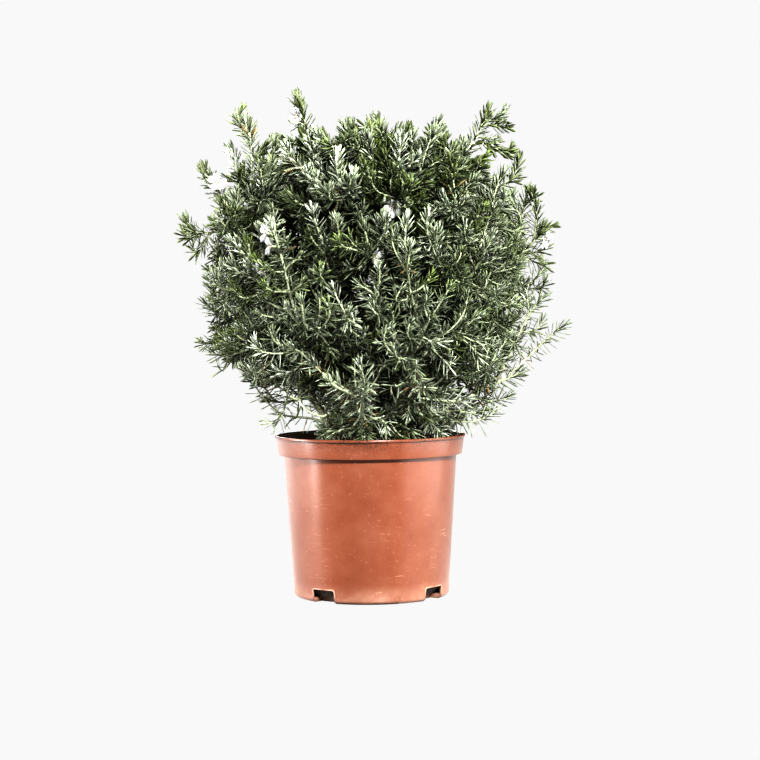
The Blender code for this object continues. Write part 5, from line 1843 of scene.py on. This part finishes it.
def make_litter():
    brown = plain_material("dry_leaf", DRY_LEAF_COLOURS, 260.0, 0.85)
    grey = plain_material("dead_twig", DEAD_TWIG_COLOURS, 200.0, 0.85)
    twigs = [dead_twig_mesh(length, bend, seed) for seed, (length, bend) in enumerate(DEAD_TWIG_SHAPES)]
    kinds = [("dry_leaves", DRY_LEAVES, blade_meshes(), brown), ("dead_twigs", DEAD_TWIGS, twigs, grey)]
    for number, (name, (density, sizes, tilt, height, reach), meshes, material) in enumerate(kinds):
        scatter(name, ground, meshes, sizes, {
            "Density": density, "Tilt": tilt, "Height": height, "Reach": reach,
            "Seed": LITTER_SEED + number, "Material": material})


make_litter()

# Floor, backdrop, light and camera
# A pale studio: an even white floor and background, a soft box on every side of the plant for its
# leaves, and low strips at the left and right that shine on the pot and leave its front darker.

CAMERA_DISTANCE = 2.0
CAMERA_HEIGHT = 0.287
CAMERA_ASIDE = 0.0105
CAMERA_PITCH = math.radians(2.06)
CAMERA_ROLL = math.radians(0.6)
CAMERA_LENS = 94.74
SENSOR_WIDTH = 36.0
VIEW_GAMMA = 0.74
PAPER_WHITE = 0.9607
WORLD_GLOW = (0.030, 0.032, 0.020)
FLOOR_HALF = 8.0
FLOOR_DROP = 0.0003
FLOOR_BOUNCE = (0.12, 0.12, 0.12)
FLOOR_SHEEN = 1.85
DIMMER_BEHIND = 0.35
# The two edges of the dark strip that the pot mirrors, as (slope, offset) of lines on the floor
DARK_STRIP = [(0.232, 0.054), (-0.93, 0.045)]
# Each light's place, what it faces, its width, height, watts and colour
WHITE = (1, 1, 1)
LIGHTS = {
    "front_box": ((0.5, -1.9, 1.3), (0, 0, 0.3), 0.35, 0.35, 182, WHITE),
    "right_box": ((1.8, -0.2, 1.0), (0, 0, 0.2), 0.9, 0.9, 43, (0.97, 1.04, 0.90)),
    "left_box": ((-1.8, 0.1, 0.5), (0, 0, 0.1), 0.7, 0.7, 72, WHITE),
    "back_box": ((-0.4, 2.2, 1.2), (0, 0, 0.3), 0.8, 0.8, 50, WHITE),
    "right_strip": ((0.60, -0.28, 0.075), (0, -0.28, 0.075), 0.86, 0.15, 1.9, WHITE),
    "right_back": ((0.60, 0.55, 0.075), (0, 0.55, 0.075), 0.80, 0.15, 0.12, WHITE),
    "left_strip": ((-0.60, 0.40, 0.075), (0, 0.40, 0.075), 1.04, 0.15, 0.7, WHITE),
    "left_edge": ((-0.60, -0.155, 0.075), (0, -0.10, 0.04), 0.08, 0.15, 0.9, WHITE),
}


def soft_light(name, place, target, width, height, watts, colour):
    """A rectangular soft box that faces a point."""
    lamp = bpy.data.lights.new(name, 'AREA')
    lamp.shape = 'RECTANGLE'
    lamp.size, lamp.size_y = width, height
    lamp.energy = watts
    lamp.color = colour
    thing = bpy.data.objects.new(name, lamp)
    bpy.context.scene.collection.objects.link(thing)
    facing = (Vector(target) - Vector(place)).to_track_quat('-Z', 'Y').to_matrix().to_4x4()
    thing.matrix_world = Matrix.Translation(place) @ facing


def make_floor():
    """The floor: even white to the viewer, with a dark strip and a dimmer part that the pot mirrors."""
    mesh = bpy.data.meshes.new("floor")
    half, low = FLOOR_HALF, -FLOOR_DROP
    corners = [(-half, -half, low), (half, -half, low), (half, half, low), (-half, half, low)]
    mesh.from_pydata(corners, [], [(0, 1, 2, 3)])
    material, tree, shader = new_material("pale_floor", 0.8)
    rays = add_node(tree, "ShaderNodeLightPath").outputs
    seen = rays["Is Camera Ray"]
    bounce = mix_colours(tree, seen, FLOOR_BOUNCE, (0, 0, 0))
    tree.links.new(bounce, shader.inputs["Base Color"])
    shader.inputs["Specular IOR Level"].default_value = 0.0
    shader.inputs["Emission Color"].default_value = (1, 1, 1, 1)
    across, away, _ = add_node(tree, "ShaderNodeSeparateXYZ", {0: object_place(tree)}).outputs
    lit = []
    for slope, offset in DARK_STRIP:
        edge = calculate(tree, 'SUBTRACT', times(tree, across, slope), offset)
        lit.append(calculate(tree, 'GREATER_THAN', away, edge))
    sheen = times(tree, calculate(tree, 'MAXIMUM', *lit), FLOOR_SHEEN)
    behind = times(tree, ramp_between(tree, across, 0.02, 0.15), ramp_between(tree, away, 0.0, 0.30))
    brightness = calculate(tree, 'SUBTRACT', 1.0, times(tree, behind, DIMMER_BEHIND))
    sheen = times(tree, times(tree, sheen, brightness), rays["Is Glossy Ray"])
    glow = calculate(tree, 'ADD', sheen, times(tree, seen, PAPER_WHITE))
    tree.links.new(glow, shader.inputs["Emission Strength"])
    add_piece("floor", mesh, material)


def make_world():
    """Paper white behind the plant to the viewer, and a faint greenish glow on the plant itself."""
    world = bpy.data.worlds.new("studio")
    bpy.context.scene.world = world
    world.use_nodes = True
    tree = world.node_tree
    seen = add_node(tree, "ShaderNodeLightPath").outputs["Is Camera Ray"]
    colour = mix_colours(tree, seen, WORLD_GLOW, (PAPER_WHITE,) * 3)
    tree.links.new(colour, tree.nodes["Background"].inputs["Color"])


def make_camera():
    lens = bpy.data.cameras.new("camera")
    lens.lens = CAMERA_LENS
    lens.sensor_width = SENSOR_WIDTH
    camera = bpy.data.objects.new("camera", lens)
    bpy.context.scene.collection.objects.link(camera)
    turn = Matrix.Rotation(QUARTER - CAMERA_PITCH, 4, 'X') @ Matrix.Rotation(-CAMERA_ROLL, 4, 'Z')
    camera.matrix_world = Matrix.Translation((CAMERA_ASIDE, -CAMERA_DISTANCE, CAMERA_HEIGHT)) @ turn
    bpy.context.scene.camera = camera


make_floor()
make_world()
for light_name, values in LIGHTS.items():
    soft_light(light_name, *values)
make_camera()
bpy.context.scene.view_settings.view_transform = 'Standard'
bpy.context.scene.view_settings.gamma = VIEW_GAMMA
